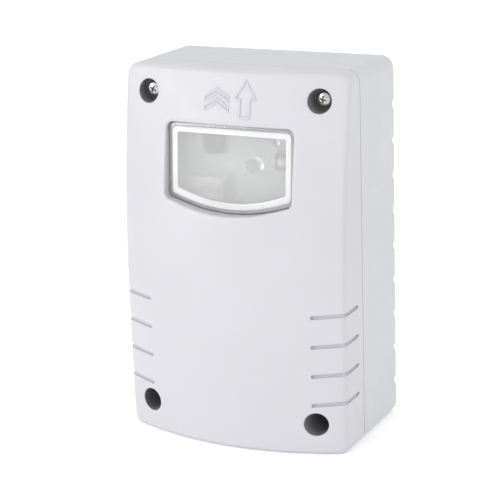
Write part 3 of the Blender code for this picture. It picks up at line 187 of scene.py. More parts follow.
# %% The case's sizes and its front surface
cover_low, cover_high = (Vector(corner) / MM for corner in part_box("front_cover"))
housing_low, housing_high = (Vector(corner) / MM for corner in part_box("rear_housing"))
HALF_WIDTH = cover_high.x
FOOT, TOP = cover_low.z, cover_high.z
HEIGHT = TOP - FOOT
COVER_BACK = housing_low.y - 0.3
SIDE_DEPTH, TOP_FALL, FOOT_FALL = 15.0, 7.9, 0.4
FOOT_CROWN, TOP_CROWN = 9.5, 4.0
SHOULDER = 0.37 * HEIGHT
TOP_CORNER, BOTTOM_CORNER = 4.5, 3.0
FRONT_ROUNDING, BACK_ROUNDING = 1.5, 1.2
COVER_WALL, HOUSING_WALL = 2.2, 2.4


def front_y(x, z):
    height = z - FOOT
    if height > SHOULDER:
        fall = TOP_FALL * ((height - SHOULDER) / (HEIGHT - SHOULDER)) ** 2
    else:
        fall = FOOT_FALL * ((SHOULDER - height) / SHOULDER) ** 2
    crown = FOOT_CROWN + (TOP_CROWN - FOOT_CROWN) * height / HEIGHT
    return housing_low.y - (SIDE_DEPTH - fall + crown * (1 - (x / HALF_WIDTH) ** 2))


def case_outline(inset, along_side=46, along_end=28, corner_steps=8):
    """The case seen from the front, moved in by inset, with evenly spaced points."""
    half, low, high = HALF_WIDTH - inset, FOOT + inset, TOP - inset
    upper = max(TOP_CORNER - inset, 0.3)
    lower = max(BOTTOM_CORNER - inset, 0.3)
    corners = (
        (half - upper, high - upper, upper, 0, along_end),
        (-half + upper, high - upper, upper, 90, along_side),
        (-half + lower, low + lower, lower, 180, along_end),
        (half - lower, low + lower, lower, 270, along_side),
    )
    points = []
    for index, (x, z, radius, start, steps) in enumerate(corners):
        for step in range(corner_steps + 1):
            angle = math.radians(start + 90.0 * step / corner_steps)
            points.append((x + radius * math.cos(angle), z + radius * math.sin(angle)))
        next_x, next_z, next_radius, next_start, _ = corners[(index + 1) % 4]
        angle = math.radians(next_start)
        end = (next_x + next_radius * math.cos(angle), next_z + next_radius * math.sin(angle))
        begin = points[-1]
        for step in range(1, steps):
            share = step / steps
            points.append((begin[0] + (end[0] - begin[0]) * share, begin[1] + (end[1] - begin[1]) * share))
    return points


print(f"case {2 * HALF_WIDTH:.1f} x {HEIGHT:.1f} mm")
print(f"front from {front_y(0, FOOT):.1f} to {front_y(0, TOP):.1f} mm")

# %% [markdown]
# ## Finishes
# A moulded plastic is never one flat colour: its skin has a fine grain from the tool, its gloss
# varies a little, and its colour drifts over the width of a hand. Those three come from noise read
# on Object coordinates, so that they stay with the piece when it moves.

# %% Moulded plastic
def new_material(name):
    material = bpy.data.materials.new(name)
    material.use_nodes = True
    tree = material.node_tree
    return material, tree, tree.nodes["Principled BSDF"]


def add(tree, kind, **settings):
    node = tree.nodes.new(kind)
    for key, value in settings.items():
        if key in node.inputs:
            node.inputs[key].default_value = value
        else:
            setattr(node, key, value)
    return node


def noise(tree, scale, detail=3.0, stretch=(1.0, 1.0, 1.0)):
    """Noise on Object coordinates, in features per metre."""
    place = add(tree, "ShaderNodeTexCoord")
    mapping = add(tree, "ShaderNodeMapping")
    mapping.inputs["Scale"].default_value = stretch
    texture = add(tree, "ShaderNodeTexNoise", Scale=scale, Detail=detail)
    tree.links.new(place.outputs["Object"], mapping.inputs["Vector"])
    tree.links.new(mapping.outputs["Vector"], texture.inputs["Vector"])
    return texture.outputs["Fac"]


def spread(tree, value, low, high):
    """Maps the middle of a noise onto low..high."""
    node = add(tree, "ShaderNodeMapRange")
    node.inputs["From Min"].default_value = 0.3
    node.inputs["From Max"].default_value = 0.7
    node.inputs["To Min"].default_value = low
    node.inputs["To Max"].default_value = high
    tree.links.new(value, node.inputs["Value"])
    return node.outputs["Result"]


def two_tone(tree, value, first, second):
    ramp = add(tree, "ShaderNodeValToRGB")
    ramp.color_ramp.elements[0].position = 0.32
    ramp.color_ramp.elements[1].position = 0.68
    ramp.color_ramp.elements[0].color = (*first, 1.0)
    ramp.color_ramp.elements[1].color = (*second, 1.0)
    tree.links.new(value, ramp.inputs["Fac"])
    return ramp.outputs["Color"]


def grain(tree, shader, scale, depth, strength=0.5, stretch=(1.0, 1.0, 1.0)):
    bump = add(tree, "ShaderNodeBump", Strength=strength, Distance=depth * MM)
    tree.links.new(noise(tree, scale, 4.0, stretch), bump.inputs["Height"])
    tree.links.new(bump.outputs["Normal"], shader.inputs["Normal"])


def moulded(name, colour, roughness, grain_size=0.5, grain_depth=0.02, drift=0.03):
    material, tree, shader = new_material(name)
    darker = [channel * (1 - drift) for channel in colour]
    tree.links.new(two_tone(tree, noise(tree, 35.0), colour, darker), shader.inputs["Base Color"])
    gloss = spread(tree, noise(tree, 160.0), roughness * 0.88, roughness * 1.12)
    tree.links.new(gloss, shader.inputs["Roughness"])
    shader.inputs["Specular IOR Level"].default_value = 0.45
    grain(tree, shader, 1 / (grain_size * MM), grain_depth)
    return material


# %% [markdown]
# ## Metal, glass-clear plastic and the rest
# Zinc plate, spring steel and brass share one recipe with their own colour and direction of polish.
# The window is three finishes of one clear plastic: a clear outer edge, a milky inner rim, and a
# hazed middle that blurs what is behind it.

# %% Metals and clear plastics
def metal(name, colour, roughness, stretch=(1.0, 1.0, 1.0), scratch=0.004):
    material, tree, shader = new_material(name)
    darker = [channel * 0.86 for channel in colour]
    tree.links.new(two_tone(tree, noise(tree, 420.0), colour, darker), shader.inputs["Base Color"])
    polish = spread(tree, noise(tree, 1500.0, 2.0, stretch), roughness * 0.75, roughness * 1.3)
    tree.links.new(polish, shader.inputs["Roughness"])
    shader.inputs["Metallic"].default_value = 1.0
    grain(tree, shader, 2600.0, scratch, 0.4, stretch)
    return material


def clear(name, colour, roughness, haze, transmission=1.0):
    material, tree, shader = new_material(name)
    paler = [min(channel * 1.03, 1.0) for channel in colour]
    tree.links.new(two_tone(tree, noise(tree, 90.0), colour, paler), shader.inputs["Base Color"])
    tree.links.new(spread(tree, noise(tree, 500.0), roughness, haze), shader.inputs["Roughness"])
    shader.inputs["Transmission Weight"].default_value = transmission
    shader.inputs["IOR"].default_value = 1.49
    grain(tree, shader, 1800.0, 0.004, 0.3)
    return material


COVER_WHITE = (0.565, 0.56, 0.592)
HOUSING_WHITE = (0.555, 0.565, 0.588)
# Painted shade: a dark grey for the deep walls of the counterbores, standing in for their shadow.
PAINTED_SHADE_GREY = (0.20, 0.20, 0.21)
FINISH = {
    "cover_plastic": moulded("satin_white_cover", COVER_WHITE, 0.42, 0.35, 0.016),
    "housing_plastic": moulded("satin_white_housing", HOUSING_WHITE, 0.45, 0.35, 0.018),
    "clear_plastic": clear("clear_dome", (0.93, 0.95, 0.96), 0.05, 0.12),
    "seal_rubber": moulded("white_silicone", (0.62, 0.62, 0.63), 0.6, 0.8, 0.03, 0.08),
    "screw_steel": metal("bright_zinc", (0.52, 0.52, 0.52), 0.20),
    "shaft_steel": metal("ground_steel", (0.62, 0.63, 0.64), 0.22, (1.0, 12.0, 1.0)),
    "spring_steel": metal("nickel_plate", (0.68, 0.66, 0.60), 0.28),
    "brass": metal("turned_brass", (0.74, 0.55, 0.24), 0.30),
    "gear_plastic": moulded("acetal_cream", (0.76, 0.74, 0.66), 0.38, 0.6, 0.01, 0.06),
    "frame_plastic": moulded("glass_filled_black", (0.030, 0.031, 0.034), 0.52, 0.3, 0.03, 0.3),
    "motor_steel": metal("plated_can", (0.56, 0.56, 0.54), 0.34, (1.0, 1.0, 0.1)),
    "part_black": moulded("matt_black_package", (0.06, 0.06, 0.065), 0.5, 0.2, 0.012, 0.2),
    "part_white": moulded("white_nylon", (0.74, 0.74, 0.71), 0.45, 0.5, 0.012, 0.05),
    "wire_red": moulded("red_insulation", (0.42, 0.02, 0.016), 0.4, 0.4, 0.008, 0.2),
    "wire_black": moulded("black_insulation", (0.018, 0.018, 0.020), 0.42, 0.4, 0.008, 0.3),
}
# Painted shade: the material that darkens the deep walls of the counterbores.
PAINTED_BORE_SHADE = moulded("painted_shade_in_bore", PAINTED_SHADE_GREY, 0.5, 0.35, 0.016)
PANE_RIM = clear("polished_rim", (0.95, 0.95, 0.96), 0.03, 0.08, 0.25)
PANE_EDGE = clear("outer_rim", (0.93, 0.93, 0.94), 0.04, 0.08, 0.75)
PANE_HAZE = clear("hazed_pane", (0.985, 0.985, 0.99), 0.10, 0.15, 0.72)
print(len(FINISH), "finishes")


# %% [markdown]
# ## Handing a piece over
# A finished piece rides on a body, stands for its plain solid and takes its finish, by default the one
# of the solid's slot. One helper does all of it: it hides the plain solid, which stays in the frame for its
# motion.

# %% Hand over
SLOT_OF = {entry["node"]: entry["material_slot"] for entry in frame["record"]["subparts"]}


def hand_over(piece, node, *finishes, angle=32.0):
    settle(piece)
    piece.name = f"{node}_finished"
    piece.data.materials.clear()
    for finish in finishes or (FINISH[SLOT_OF[node]],):
        piece.data.materials.append(finish)
    smooth(piece, angle)
    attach(piece, BODY_OF[node])
    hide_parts(node)
    return piece


# %% [markdown]
# ## The cover's shell
# The real cover is one injection moulding. Its outside runs up the side wall, round a soft rim and
# over the crowned front, so it is a skin through rings: a few up the side, a quarter circle for the
# rim, then rings that close in on the middle. Solidify gives it the moulding's wall.

# %% The outer skin and its wall
def lifted(points, depth):
    """Outline points laid on the front surface, or sunk below it by depth."""
    return [(x, front_y(x, z) + depth, z) for x, z in points]


def toward_middle(points, share):
    middle = (FOOT + TOP) / 2
    return [(x * share, middle + (z - middle) * share) for x, z in points]


def cover_rings():
    edge = case_outline(0.0)
    start = lifted(edge, FRONT_ROUNDING)
    rings = []
    for step in range(6):
        share = step / 6
        rings.append([(x, COVER_BACK + (y - COVER_BACK) * share, z) for x, y, z in start])
    for step in range(9):
        angle = math.radians(90.0 * step / 8)
        inset = FRONT_ROUNDING * (1 - math.cos(angle))
        rings.append(lifted(case_outline(inset), FRONT_ROUNDING * (1 - math.sin(angle))))
    flat = case_outline(FRONT_ROUNDING)
    for step in range(1, 31):
        rings.append(lifted(toward_middle(flat, 1 - step / 30), 0.0))
    return rings


cover = skin("cover", cover_rings(), fill=False)
modify(cover, "SOLIDIFY", thickness=COVER_WALL * MM, offset=-1.0, use_even_offset=True)
print("cover shell", len(cover.data.polygons), "faces")

# %% [markdown]
# ## Inside the cover
# A moulding carries its own furniture: a tube for each screw, a lip that finds the housing and a well
# that holds the window. Each is a solid that ends inside the wall, where a union melts it in.

# %% Screw tubes, lip and window well
SCREW_PLACES = [(x, z) for z in (TOP - 9.0, FOOT + 10.8) for x in (-32.0, 32.0)]
SCREW_SEAT = housing_low.y - 5.5
COUNTERBORE, SCREW_TUBE, SHANK_HOLE = 4.1, 5.6, 1.8
BORE_LIGHT = 1.6  # the bore's mouth is lit this far down
LIP_GAP = 6.2
IN_WALL, NEAR = 1.1, 0.05


def band(name, outer_inset, inner_inset, back, front):
    """A flat band that follows the case between two insets."""
    outer, inner = case_outline(outer_inset), case_outline(inner_inset)
    corners = ((outer, back), (outer, front), (inner, front), (inner, back), (outer, back))
    return skin(name, [[(x, y, z) for x, z in points] for points, y in corners], fill=False)


for x, z in SCREW_PLACES:
    tube = [[(px, COVER_BACK, pz) for px, pz in circle(x, z, SCREW_TUBE)]]
    tube.append(lifted(circle(x, z, SCREW_TUBE), IN_WALL))
    combine(cover, "UNION", skin("screw_tube", tube))

seal_ledge = housing_low.y + 3.4
lip_back = seal_ledge - 2.0
lip = band("lip", 2.8, 4.3, lip_back, COVER_BACK - 1.0)
for x, z in SCREW_PLACES:
    combine(lip, "DIFFERENCE", rod("lip_gap", LIP_GAP, (x, lip_back + 1.0, z), (x, COVER_BACK - 1.6, z)))
combine(cover, "UNION", band("lip_root", 1.4, 4.6, COVER_BACK - 0.4, COVER_BACK - 2.4), lip)

# %% The window's plane and outline
WINDOW_HALF, WINDOW_TOP, WINDOW_SIDE_FOOT, WINDOW_SAG = 24.0, FOOT + 111.5, FOOT + 84.9, 3.9
WINDOW_MIDDLE = (WINDOW_TOP + WINDOW_SIDE_FOOT) / 2
WINDOW_CORNER, WINDOW_RIM = 2.5, 3.3
WINDOW_TILT = math.radians(4.6)
WINDOW_Y = housing_low.y - 13.1
PANE, SEAT, LEDGE = 1.5, 2.6, 1.4


def window_outline(grow):
    """Square shoulders and a lower edge that sags, in the pane's own plane."""
    half, top = WINDOW_HALF + grow, WINDOW_TOP - WINDOW_MIDDLE + grow
    foot = WINDOW_SIDE_FOOT - WINDOW_MIDDLE - grow
    radius = max(WINDOW_CORNER + grow * 0.5, 0.6)
    points = []

    def arc(x, z, start, sweep):
        for step in range(9):
            angle = math.radians(start + sweep * step / 8)
            points.append((x + radius * math.cos(angle), z + radius * math.sin(angle)))

    def straight(end, steps):
        begin = points[-1]
        for step in range(1, steps):
            points.append(tuple(b + (e - b) * step / steps for b, e in zip(begin, end)))

    arc(half - radius, top - radius, 0, 90)
    straight((-half + radius, top), 14)
    arc(-half + radius, top - radius, 90, 90)
    straight((-half, foot + radius), 8)
    arc(-half + radius, foot + radius, 180, 72)
    for step in range(1, 24):
        share = -1 + step / 12
        points.append((share * (half - radius), foot - WINDOW_SAG * (1 - share**2)))
    arc(half - radius, foot + radius, -72, 72)
    straight((half, top - radius), 8)
    return points


def in_window(grow, out):
    """The outline at a distance out of the pane's front face."""
    rise, run = math.sin(WINDOW_TILT), math.cos(WINDOW_TILT)
    return [(x, WINDOW_Y + v * rise - out * run, WINDOW_MIDDLE + v * run + out * rise)
            for x, v in window_outline(grow)]


def on_front(grow, depth):
    """The outline carried out along the pane's normal to the cover's front, or short of it by depth."""
    rise, run = math.sin(WINDOW_TILT), math.cos(WINDOW_TILT)
    points = []
    for x, v in window_outline(grow):
        out = 3.0
        for _ in range(4):
            z = WINDOW_MIDDLE + v * run + out * rise
            out = (WINDOW_Y + v * rise - front_y(x, z) - depth) / run
        points.append((x, front_y(x, z) + depth, z))
    return points


combine(cover, "UNION", skin("well", [in_window(1.8, -SEAT - LEDGE), on_front(1.8, IN_WALL)]))
print("window", round(2 * WINDOW_HALF, 1), "mm wide")

# %% [markdown]
# ## Soft mouths
# Every hole in a moulding has a small radius where it meets the surface: it is what catches the
# light. A cutter with a flared mouth makes it. Its rings follow the crowned front, so the radius has
# one size all the way round although the front slopes away.

# %% Counterbores and the window's recess
MOUTH, BORE_MOUTH = 0.6, 0.28


def mouth_rings(ring_at, radius):
    """Rings of a quarter-round mouth. ring_at(grow, depth) lays the outline on the front."""
    start = math.radians(20)
    flare = radius * (1 - math.sin(start)) + radius * math.cos(start)
    rings = [ring_at(flare, -6.0), ring_at(flare, -0.28 * radius)]
    for step in range(7):
        angle = start + (math.pi / 2 - start) * step / 6
        rings.append(ring_at(radius * (1 - math.sin(angle)), radius * (1 - math.cos(angle))))
    return rings


for x, z in SCREW_PLACES:
    def bore_ring(grow, depth):
        return lifted(circle(x, z, COUNTERBORE + grow), depth)

    rings = mouth_rings(bore_ring, BORE_MOUTH)
    rings.append([(px, SCREW_SEAT, pz) for px, pz in circle(x, z, COUNTERBORE - 0.1)])
    combine(cover, "DIFFERENCE", skin("counterbore", rings))
    start, end = (x, COVER_BACK + 2.0, z), (x, SCREW_SEAT - 1.0, z)
    combine(cover, "DIFFERENCE", rod("shank_hole", SHANK_HOLE, start, end, 24))

combine(cover, "DIFFERENCE", skin("recess", mouth_rings(on_front, MOUTH) + [in_window(0.0, -SEAT)]))
opening = [in_window(-WINDOW_RIM, 2.0), in_window(-WINDOW_RIM, -SEAT - 6.0)]
combine(cover, "DIFFERENCE", skin("opening", opening))

# %% [markdown]
# ## Grip grooves and the arrow
# Four grooves on each side give fingers a hold. Each starts on the front, runs to the edge, turns
# round it and goes back along the side. A curve with a round section follows that way and is used as
# a cutter, sunk a little below the surface, with slightly tapered ends. The raised arrow tells which
# way up the unit goes, and the two chevrons beside it say the same. All are beads laid on the front.
# Deep in each counterbore the plastic is painted a darker grey: painted shade that stands in for the shadow
# in the bore.

# %% Grooves, arrow and chevrons
def wire(name, points, radius, radii=None, closed=False, sides=4):
    """A round bar through points in millimetres, as a mesh."""
    curve = bpy.data.curves.new(name, "CURVE")
    curve.dimensions = "3D"
    curve.bevel_depth = radius * MM
    curve.bevel_resolution = sides
    curve.use_fill_caps = not closed
    spline = curve.splines.new("POLY")
    spline.points.add(len(points) - 1)
    for index, (point, place) in enumerate(zip(spline.points, points)):
        point.co = (*(Vector(place) * MM), 1.0)
        point.radius = radii[index] if radii else 1.0
    spline.use_cyclic_u = closed
    obj = bpy.data.objects.new(name, curve)
    bpy.context.collection.objects.link(obj)
    only(obj)
    bpy.ops.object.convert(target="MESH")
    return outward(bpy.context.object, 0.0000005)


GROOVE_RADIUS, GROOVE_REACH, GROOVE_SLOPE = 0.78, 11.5, math.radians(6.0)
GROOVE_SINK, GROOVE_STOP = 0.32, 3.7
GROOVE_HEIGHTS = [FOOT + 50.0 - 10.4 * i for i in range(4)]


def groove_path(height, side):
    """From the inner end on the front, round the rim and back along the side."""
    edge = HALF_WIDTH - FRONT_ROUNDING
    path = []
    for step in range(11):
        x = HALF_WIDTH - GROOVE_REACH + (edge - HALF_WIDTH + GROOVE_REACH) * step / 10
        z = height - (HALF_WIDTH - x) * math.tan(GROOVE_SLOPE)
        path.append((x, front_y(x, z) + GROOVE_SINK, z))
    z = path[-1][2]
    bend = FRONT_ROUNDING - GROOVE_SINK
    centre = front_y(edge, z) + FRONT_ROUNDING
    for step in range(1, 9):
        angle = math.radians(90.0 * step / 8)
        place_x, place_y = edge + bend * math.sin(angle), centre - bend * math.cos(angle)
        path.append((place_x, place_y, z + (height - z) * step / 8))
    last = path[-1][1]
    end = COVER_BACK - GROOVE_STOP
    for step in range(1, 8):
        path.append((HALF_WIDTH - GROOVE_SINK, last + (end - last) * step / 7, height))
    return [(side * x, y, z) for x, y, z in path]


GROOVE_ENDS = [0.6, 0.95, 1.0]
for height in GROOVE_HEIGHTS:
    for side in (-1, 1):
        path = groove_path(height, side)
        radii = GROOVE_ENDS + [1.0] * (len(path) - 2 * len(GROOVE_ENDS)) + GROOVE_ENDS[::-1]
        first, second = Vector(path[0]), Vector(path[1])
        path[1] = tuple(first + (second - first) * 0.3)
        combine(cover, "DIFFERENCE", wire("groove", path, GROOVE_RADIUS, radii))


def traced(corners, closed=True):
    """Straight runs between corners (x, height), with a point every millimetre, laid on the front."""
    points = []
    pairs = list(zip(corners, corners[1:] + corners[:1])) if closed else list(zip(corners, corners[1:]))
    for (x0, z0), (x1, z1) in pairs:
        steps = max(2, round(math.hypot(x1 - x0, z1 - z0)))
        for step in range(steps):
            share = step / steps
            points.append((x0 + (x1 - x0) * share, z0 + (z1 - z0) * share))
    if not closed:
        points.append(corners[-1])
    return [(x, front_y(x, FOOT + z) + BEAD_SINK, FOOT + z) for x, z in points]


BEAD, BEAD_SINK = 0.44, 0.04
ARROW_X, ARROW_TIP, ARROW_BARB, ARROW_FOOT = 6.2, 126.6, 120.6, 114.6
ARROW_HALF, STEM_HALF = 3.8, 1.8
arrow = [
    (ARROW_X, ARROW_TIP),
    (ARROW_X - ARROW_HALF, ARROW_BARB),
    (ARROW_X - STEM_HALF, ARROW_BARB),
    (ARROW_X - STEM_HALF, ARROW_FOOT),
    (ARROW_X + STEM_HALF, ARROW_FOOT),
    (ARROW_X + STEM_HALF, ARROW_BARB),
    (ARROW_X + ARROW_HALF, ARROW_BARB),
]
combine(cover, "UNION", wire("arrow", traced(arrow), BEAD, closed=True))
CHEVRON_X, CHEVRON_HALF, CHEVRON_RISE, CHEVRON_BAR = -4.3, 4.4, 2.6, 1.4
CHEVRON_FEET = (116.4, 119.6)
for foot in CHEVRON_FEET:
    chevron = [
        (CHEVRON_X - CHEVRON_HALF, foot),
        (CHEVRON_X, foot + CHEVRON_RISE),
        (CHEVRON_X + CHEVRON_HALF, foot),
        (CHEVRON_X + CHEVRON_HALF, foot + CHEVRON_BAR),
        (CHEVRON_X, foot + CHEVRON_RISE + CHEVRON_BAR),
        (CHEVRON_X - CHEVRON_HALF, foot + CHEVRON_BAR),
    ]
    combine(cover, "UNION", wire("chevron", traced(chevron), BEAD, closed=True))
hand_over(cover, "front_cover", FINISH["cover_plastic"], PAINTED_BORE_SHADE)
# Faces deep in each counterbore take the painted shade; only the lit mouth keeps the plain plastic.
for face in cover.data.polygons:
    at = face.center / MM
    for x, z in SCREW_PLACES:
        in_bore = math.hypot(at.x - x, at.z - z) < COUNTERBORE + NEAR
        if in_bore and front_y(x, z) + BORE_LIGHT < at.y < SCREW_SEAT + 2 * NEAR:
            face.material_index = 1
print("cover", len(cover.data.polygons), "faces")

# %% [markdown]
# ## The rear housing
# The deep half is a plain tray with a softly rounded back. The same rings make its skin. Scallops
# along the rear edge of each side let a finger or a cable tie behind the case.

# %% Housing shell
def housing_rings():
    back = housing_high.y
    flat = case_outline(BACK_ROUNDING)
    rings = [[(x, back, z) for x, z in toward_middle(flat, share)] for share in (0.0, 0.5, 0.97, 1.0)]
    for step in range(1, 9):
        angle = math.radians(90.0 * step / 8)
        inset = BACK_ROUNDING * (1 - math.sin(angle))
        rings.append([(x, back - BACK_ROUNDING * (1 - math.cos(angle)), z) for x, z in case_outline(inset)])
    start = back - BACK_ROUNDING
    for step in range(1, 7):
        y = start + (housing_low.y - start) * step / 6
        rings.append([(x, y, z) for x, z in case_outline(0.0)])
    return rings


housing = skin("housing", housing_rings(), fill=False)
modify(housing, "SOLIDIFY", thickness=HOUSING_WALL * MM, offset=-1.0, use_even_offset=True)
combine(housing, "UNION", band("seal_ledge", 1.0, 4.7, seal_ledge + 1.5, seal_ledge))
PILLARS = [tuple(sum(corner) / 2 for corner in zip(*(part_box(f"frame_screw_{i}")))) for i in range(1, 5)]
PILLARS = [(x / MM, z / MM) for x, _, z in PILLARS]
gear_plate_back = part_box("gear_frame")[1].y / MM
SCREW_BOSS, FRAME_BOSS, FRAME_PILOT = 4.5, 3.2, 1.4
for x, z in SCREW_PLACES:
    combine(housing, "UNION", rod("screw_boss", SCREW_BOSS, (x, -1.0, z), (x, housing_low.y, z)))
for x, z in PILLARS:
    start, end = (x, -1.0, z), (x, gear_plate_back + 0.3, z)
    combine(housing, "UNION", rod("frame_boss", FRAME_BOSS, start, end, 32))
switch_low, switch_high = (Vector(corner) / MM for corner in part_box("limit_switch"))
bpy.ops.object.select_all(action="DESELECT")
bpy.ops.mesh.primitive_cube_add(size=1.0)
shelf = bpy.context.object
SHELF, SHELF_GAP, SHELF_BACK = 1.7, 0.3, -1.0
shelf.dimensions = Vector((switch_high.x - switch_low.x, SHELF_BACK - switch_low.y, SHELF)) * MM
shelf_x, shelf_y = (switch_high.x + switch_low.x) / 2, (switch_low.y + SHELF_BACK) / 2
shelf.location = Vector((shelf_x, shelf_y, switch_high.z + SHELF_GAP + SHELF / 2)) * MM
combine(housing, "UNION", modify(settle(shelf), "BEVEL", width=0.3 * MM, segments=2))

# %% Holes and scallops
SCALLOP_RADIUS, SCALLOP_BITE, SCALLOP_PITCH, SCALLOP_FOOT = 2.4, 1.0, 12.7, 11.4
SCALLOP_COUNT, SCALLOP_ENDS = 9, [1.0, 1.0, 0.95, 0.8, 0.55]
for i in range(SCALLOP_COUNT):
    z = FOOT + SCALLOP_FOOT + SCALLOP_PITCH * i
    for side in (-1, 1):
        x = side * (HALF_WIDTH + SCALLOP_RADIUS - SCALLOP_BITE)
        path = [(x, 2.0, z), (x, -1.6, z), (x, -2.4, z), (x, -3.0, z), (x, -3.4, z)]
        combine(housing, "DIFFERENCE", wire("scallop", path, SCALLOP_RADIUS, SCALLOP_ENDS, sides=8))
for x, z in SCREW_PLACES:
    combine(housing, "DIFFERENCE", rod("pilot", SHANK_HOLE, (x, housing_low.y - 1.0, z), (x, -13.0, z), 24))
WALL_HOLES, WALL_HOLE = ((0.0, TOP - 7.0), (-21.0, FOOT + 9.0), (21.0, FOOT + 9.0)), 2.25
for x, z in WALL_HOLES:
    combine(housing, "DIFFERENCE", rod("wall_hole", WALL_HOLE, (x, 1.0, z), (x, -HOUSING_WALL - 1.0, z)))
for x, z in PILLARS:
    start, end = (x, -1.6, z), (x, gear_plate_back - 1.0, z)
    combine(housing, "DIFFERENCE", rod("frame_pilot", FRAME_PILOT, start, end, 24))
CORD_Y, CORD_HOLE = -22.0, 2.6
start, end = (0.0, CORD_Y, FOOT - 1.0), (0.0, CORD_Y, FOOT + 4.0)
combine(housing, "DIFFERENCE", rod("cord_hole", CORD_HOLE, start, end))
hand_over(housing, "rear_housing")
print("housing", len(housing.data.polygons), "faces")

# %% [markdown]
# ## The window
# The pane is one clear moulding. Its rim sits flat in the recess with a fine groove round it, a small
# step runs inside that, and the middle is lower and hazed. It takes three finishes by ring: the
# back and the outer edge are clear, the inner rim is milky, and the middle is hazed.

# %% The pane
PANE_GAP = 0.3
RIM_WIDTH, RIM_SPLIT, STEP_WIDTH, STEP_DEPTH = 2.9, 1.3, 0.45, 0.35
RIM_GROOVE, BEAD_RISE = 0.2, 0.10
EDGE_ROWS = 6  # rows of faces from the back's middle to the rim's groove


def pane_rings():
    rim, split = -PANE_GAP - RIM_WIDTH, -PANE_GAP - RIM_SPLIT
    inner = in_window(rim - STEP_WIDTH, -STEP_DEPTH)
    back = in_window(-PANE_GAP - 0.25, -PANE)
    drop = Vector((0.0, PANE * math.cos(WINDOW_TILT), -PANE * math.sin(WINDOW_TILT)))
    sunk = Vector((0.0, STEP_DEPTH * math.cos(WINDOW_TILT), -STEP_DEPTH * math.sin(WINDOW_TILT)))
    middle = Vector((0.0, WINDOW_Y, WINDOW_MIDDLE))
    rings = [[tuple(middle + drop)] * len(back)]
    rings += [back, in_window(-PANE_GAP, -PANE + 0.25), in_window(-PANE_GAP, -0.3)]
    rings += [in_window(-PANE_GAP - 0.09, -0.09), in_window(-PANE_GAP - 0.3, 0.0)]
    rings += [in_window(split, 0.0), in_window(split - 0.12, -RIM_GROOVE)]
    rings += [in_window(split - 0.3, -RIM_GROOVE), in_window(split - 0.42, 0.0)]
    rings += [in_window(rim + 0.25, 0.0), in_window(rim + 0.05, BEAD_RISE)]
    rings += [in_window(rim - 0.12, BEAD_RISE), in_window(rim - 0.3, 0.0), inner]
    rings.append([tuple(middle + sunk)] * len(back))
    return rings


rings_of_pane = pane_rings()
pane = skin("pane", rings_of_pane, fill=False)
hand_over(pane, "window_pane", PANE_RIM, PANE_HAZE, PANE_EDGE)
around = len(window_outline(0.0))
for index, face in enumerate(pane.data.polygons):
    row = index // around
    if row > len(rings_of_pane) - 3:
        face.material_index = 1
    elif row < EDGE_ROWS:
        face.material_index = 2
print("pane", len(pane.data.polygons), "faces")

# %% [markdown]
# ## Screws
# A pan head is a turned profile with a cross punched into it, deeper at the middle than at its ends.
# One screw is modelled and the other three are copies, each with its own mesh.

# %% Four cover screws
HEAD_RADIUS, HEAD_HEIGHT, SHANK, SCREW_LENGTH = 2.9, 2.1, 1.5, 22.0


def turned(name, profile, steps=48):
    """A profile (radius, out) turned about the y axis: out points to the viewer."""
    turns = [math.tau * i / steps for i in range(steps)]
    rings = [[(r * math.cos(turn), -out, r * math.sin(turn)) for turn in turns] for r, out in profile]
    return skin(name, rings, fill=False)


def screw_profile():
    points = [(0.0, HEAD_HEIGHT)]
    for step in range(1, 9):
        angle = math.radians(90.0 * step / 8)
        drop = 1.25 * (1 - math.cos(angle) ** 0.8)
        points.append((HEAD_RADIUS * math.sin(angle) ** 0.85, HEAD_HEIGHT - drop))
    points += [(HEAD_RADIUS, 0.35), (HEAD_RADIUS - 0.15, 0.1), (SHANK, 0.1)]
    turns = 12
    for i in range(turns):
        out = -8.0 - i
        points += [(SHANK, out), (SHANK - 0.28, out - 0.5)]
    points += [(0.9, -SCREW_LENGTH + 0.9), (0.3, -SCREW_LENGTH), (0.0, -SCREW_LENGTH)]
    return points


def cross_cutter():
    arms = []
    for turn in (0.0, 90.0):
        bpy.ops.object.select_all(action="DESELECT")
        bpy.ops.mesh.primitive_cube_add(size=1.0)
        arm = bpy.context.object
        arm.dimensions = Vector((3.5, 2.4, 0.72)) * MM
        settle(arm)
        for vert in arm.data.vertices:
            if vert.co.y > 0:
                vert.co.x *= 0.42
                vert.co.z *= 0.62
        arm.rotation_euler.y = math.radians(turn)
        arm.location.y = (-HEAD_HEIGHT - 0.1 + 0.35) * MM
        arms.append(settle(arm))
    return combine(arms[0], "UNION", arms[1])


master = turned("screw", screw_profile())
combine(master, "DIFFERENCE", cross_cutter())
modify(master, "BEVEL", width=0.05 * MM, segments=2, limit_method="ANGLE", angle_limit=math.radians(50))
TURNS = {"top_left": 28.0, "top_right": 8.0, "bottom_left": 52.0, "bottom_right": 70.0}
for (place, turn), (x, z) in zip(TURNS.items(), SCREW_PLACES):
    screw = master.copy()
    screw.data = master.data.copy()
    bpy.context.collection.objects.link(screw)
    screw.rotation_euler.y = math.radians(turn)
    screw.location = Vector((x, SCREW_SEAT, z)) * MM
    hand_over(screw, f"cover_screw_{place}", angle=40.0)
bpy.data.objects.remove(master, do_unlink=True)
print("four screws")

# %% [markdown]
# ## What works inside
# The drive, the battery bay and the board show when the cover comes off, and dimly through the
# window before that. Their solids already have the right shape, so each is copied, its loose
# triangles are welded, flat areas are joined into single faces and every sharp edge but those of
# the wires gets a small rounding, as any moulded or stamped piece has.

# %% Softened copies of the inner pieces
EDGE = {
    "frame_plastic": 0.25, "gear_plastic": 0.08, "part_black": 0.2, "part_white": 0.2, "motor_steel": 0.15,
    "brass": 0.12, "shaft_steel": 0.15, "screw_steel": 0.1, "seal_rubber": 0.2, "spring_steel": 0.06,
    "clear_plastic": 0.05, "board_white": 0.1, "cell_sleeve": 0.15, "wire_red": 0.0, "wire_black": 0.0,
}


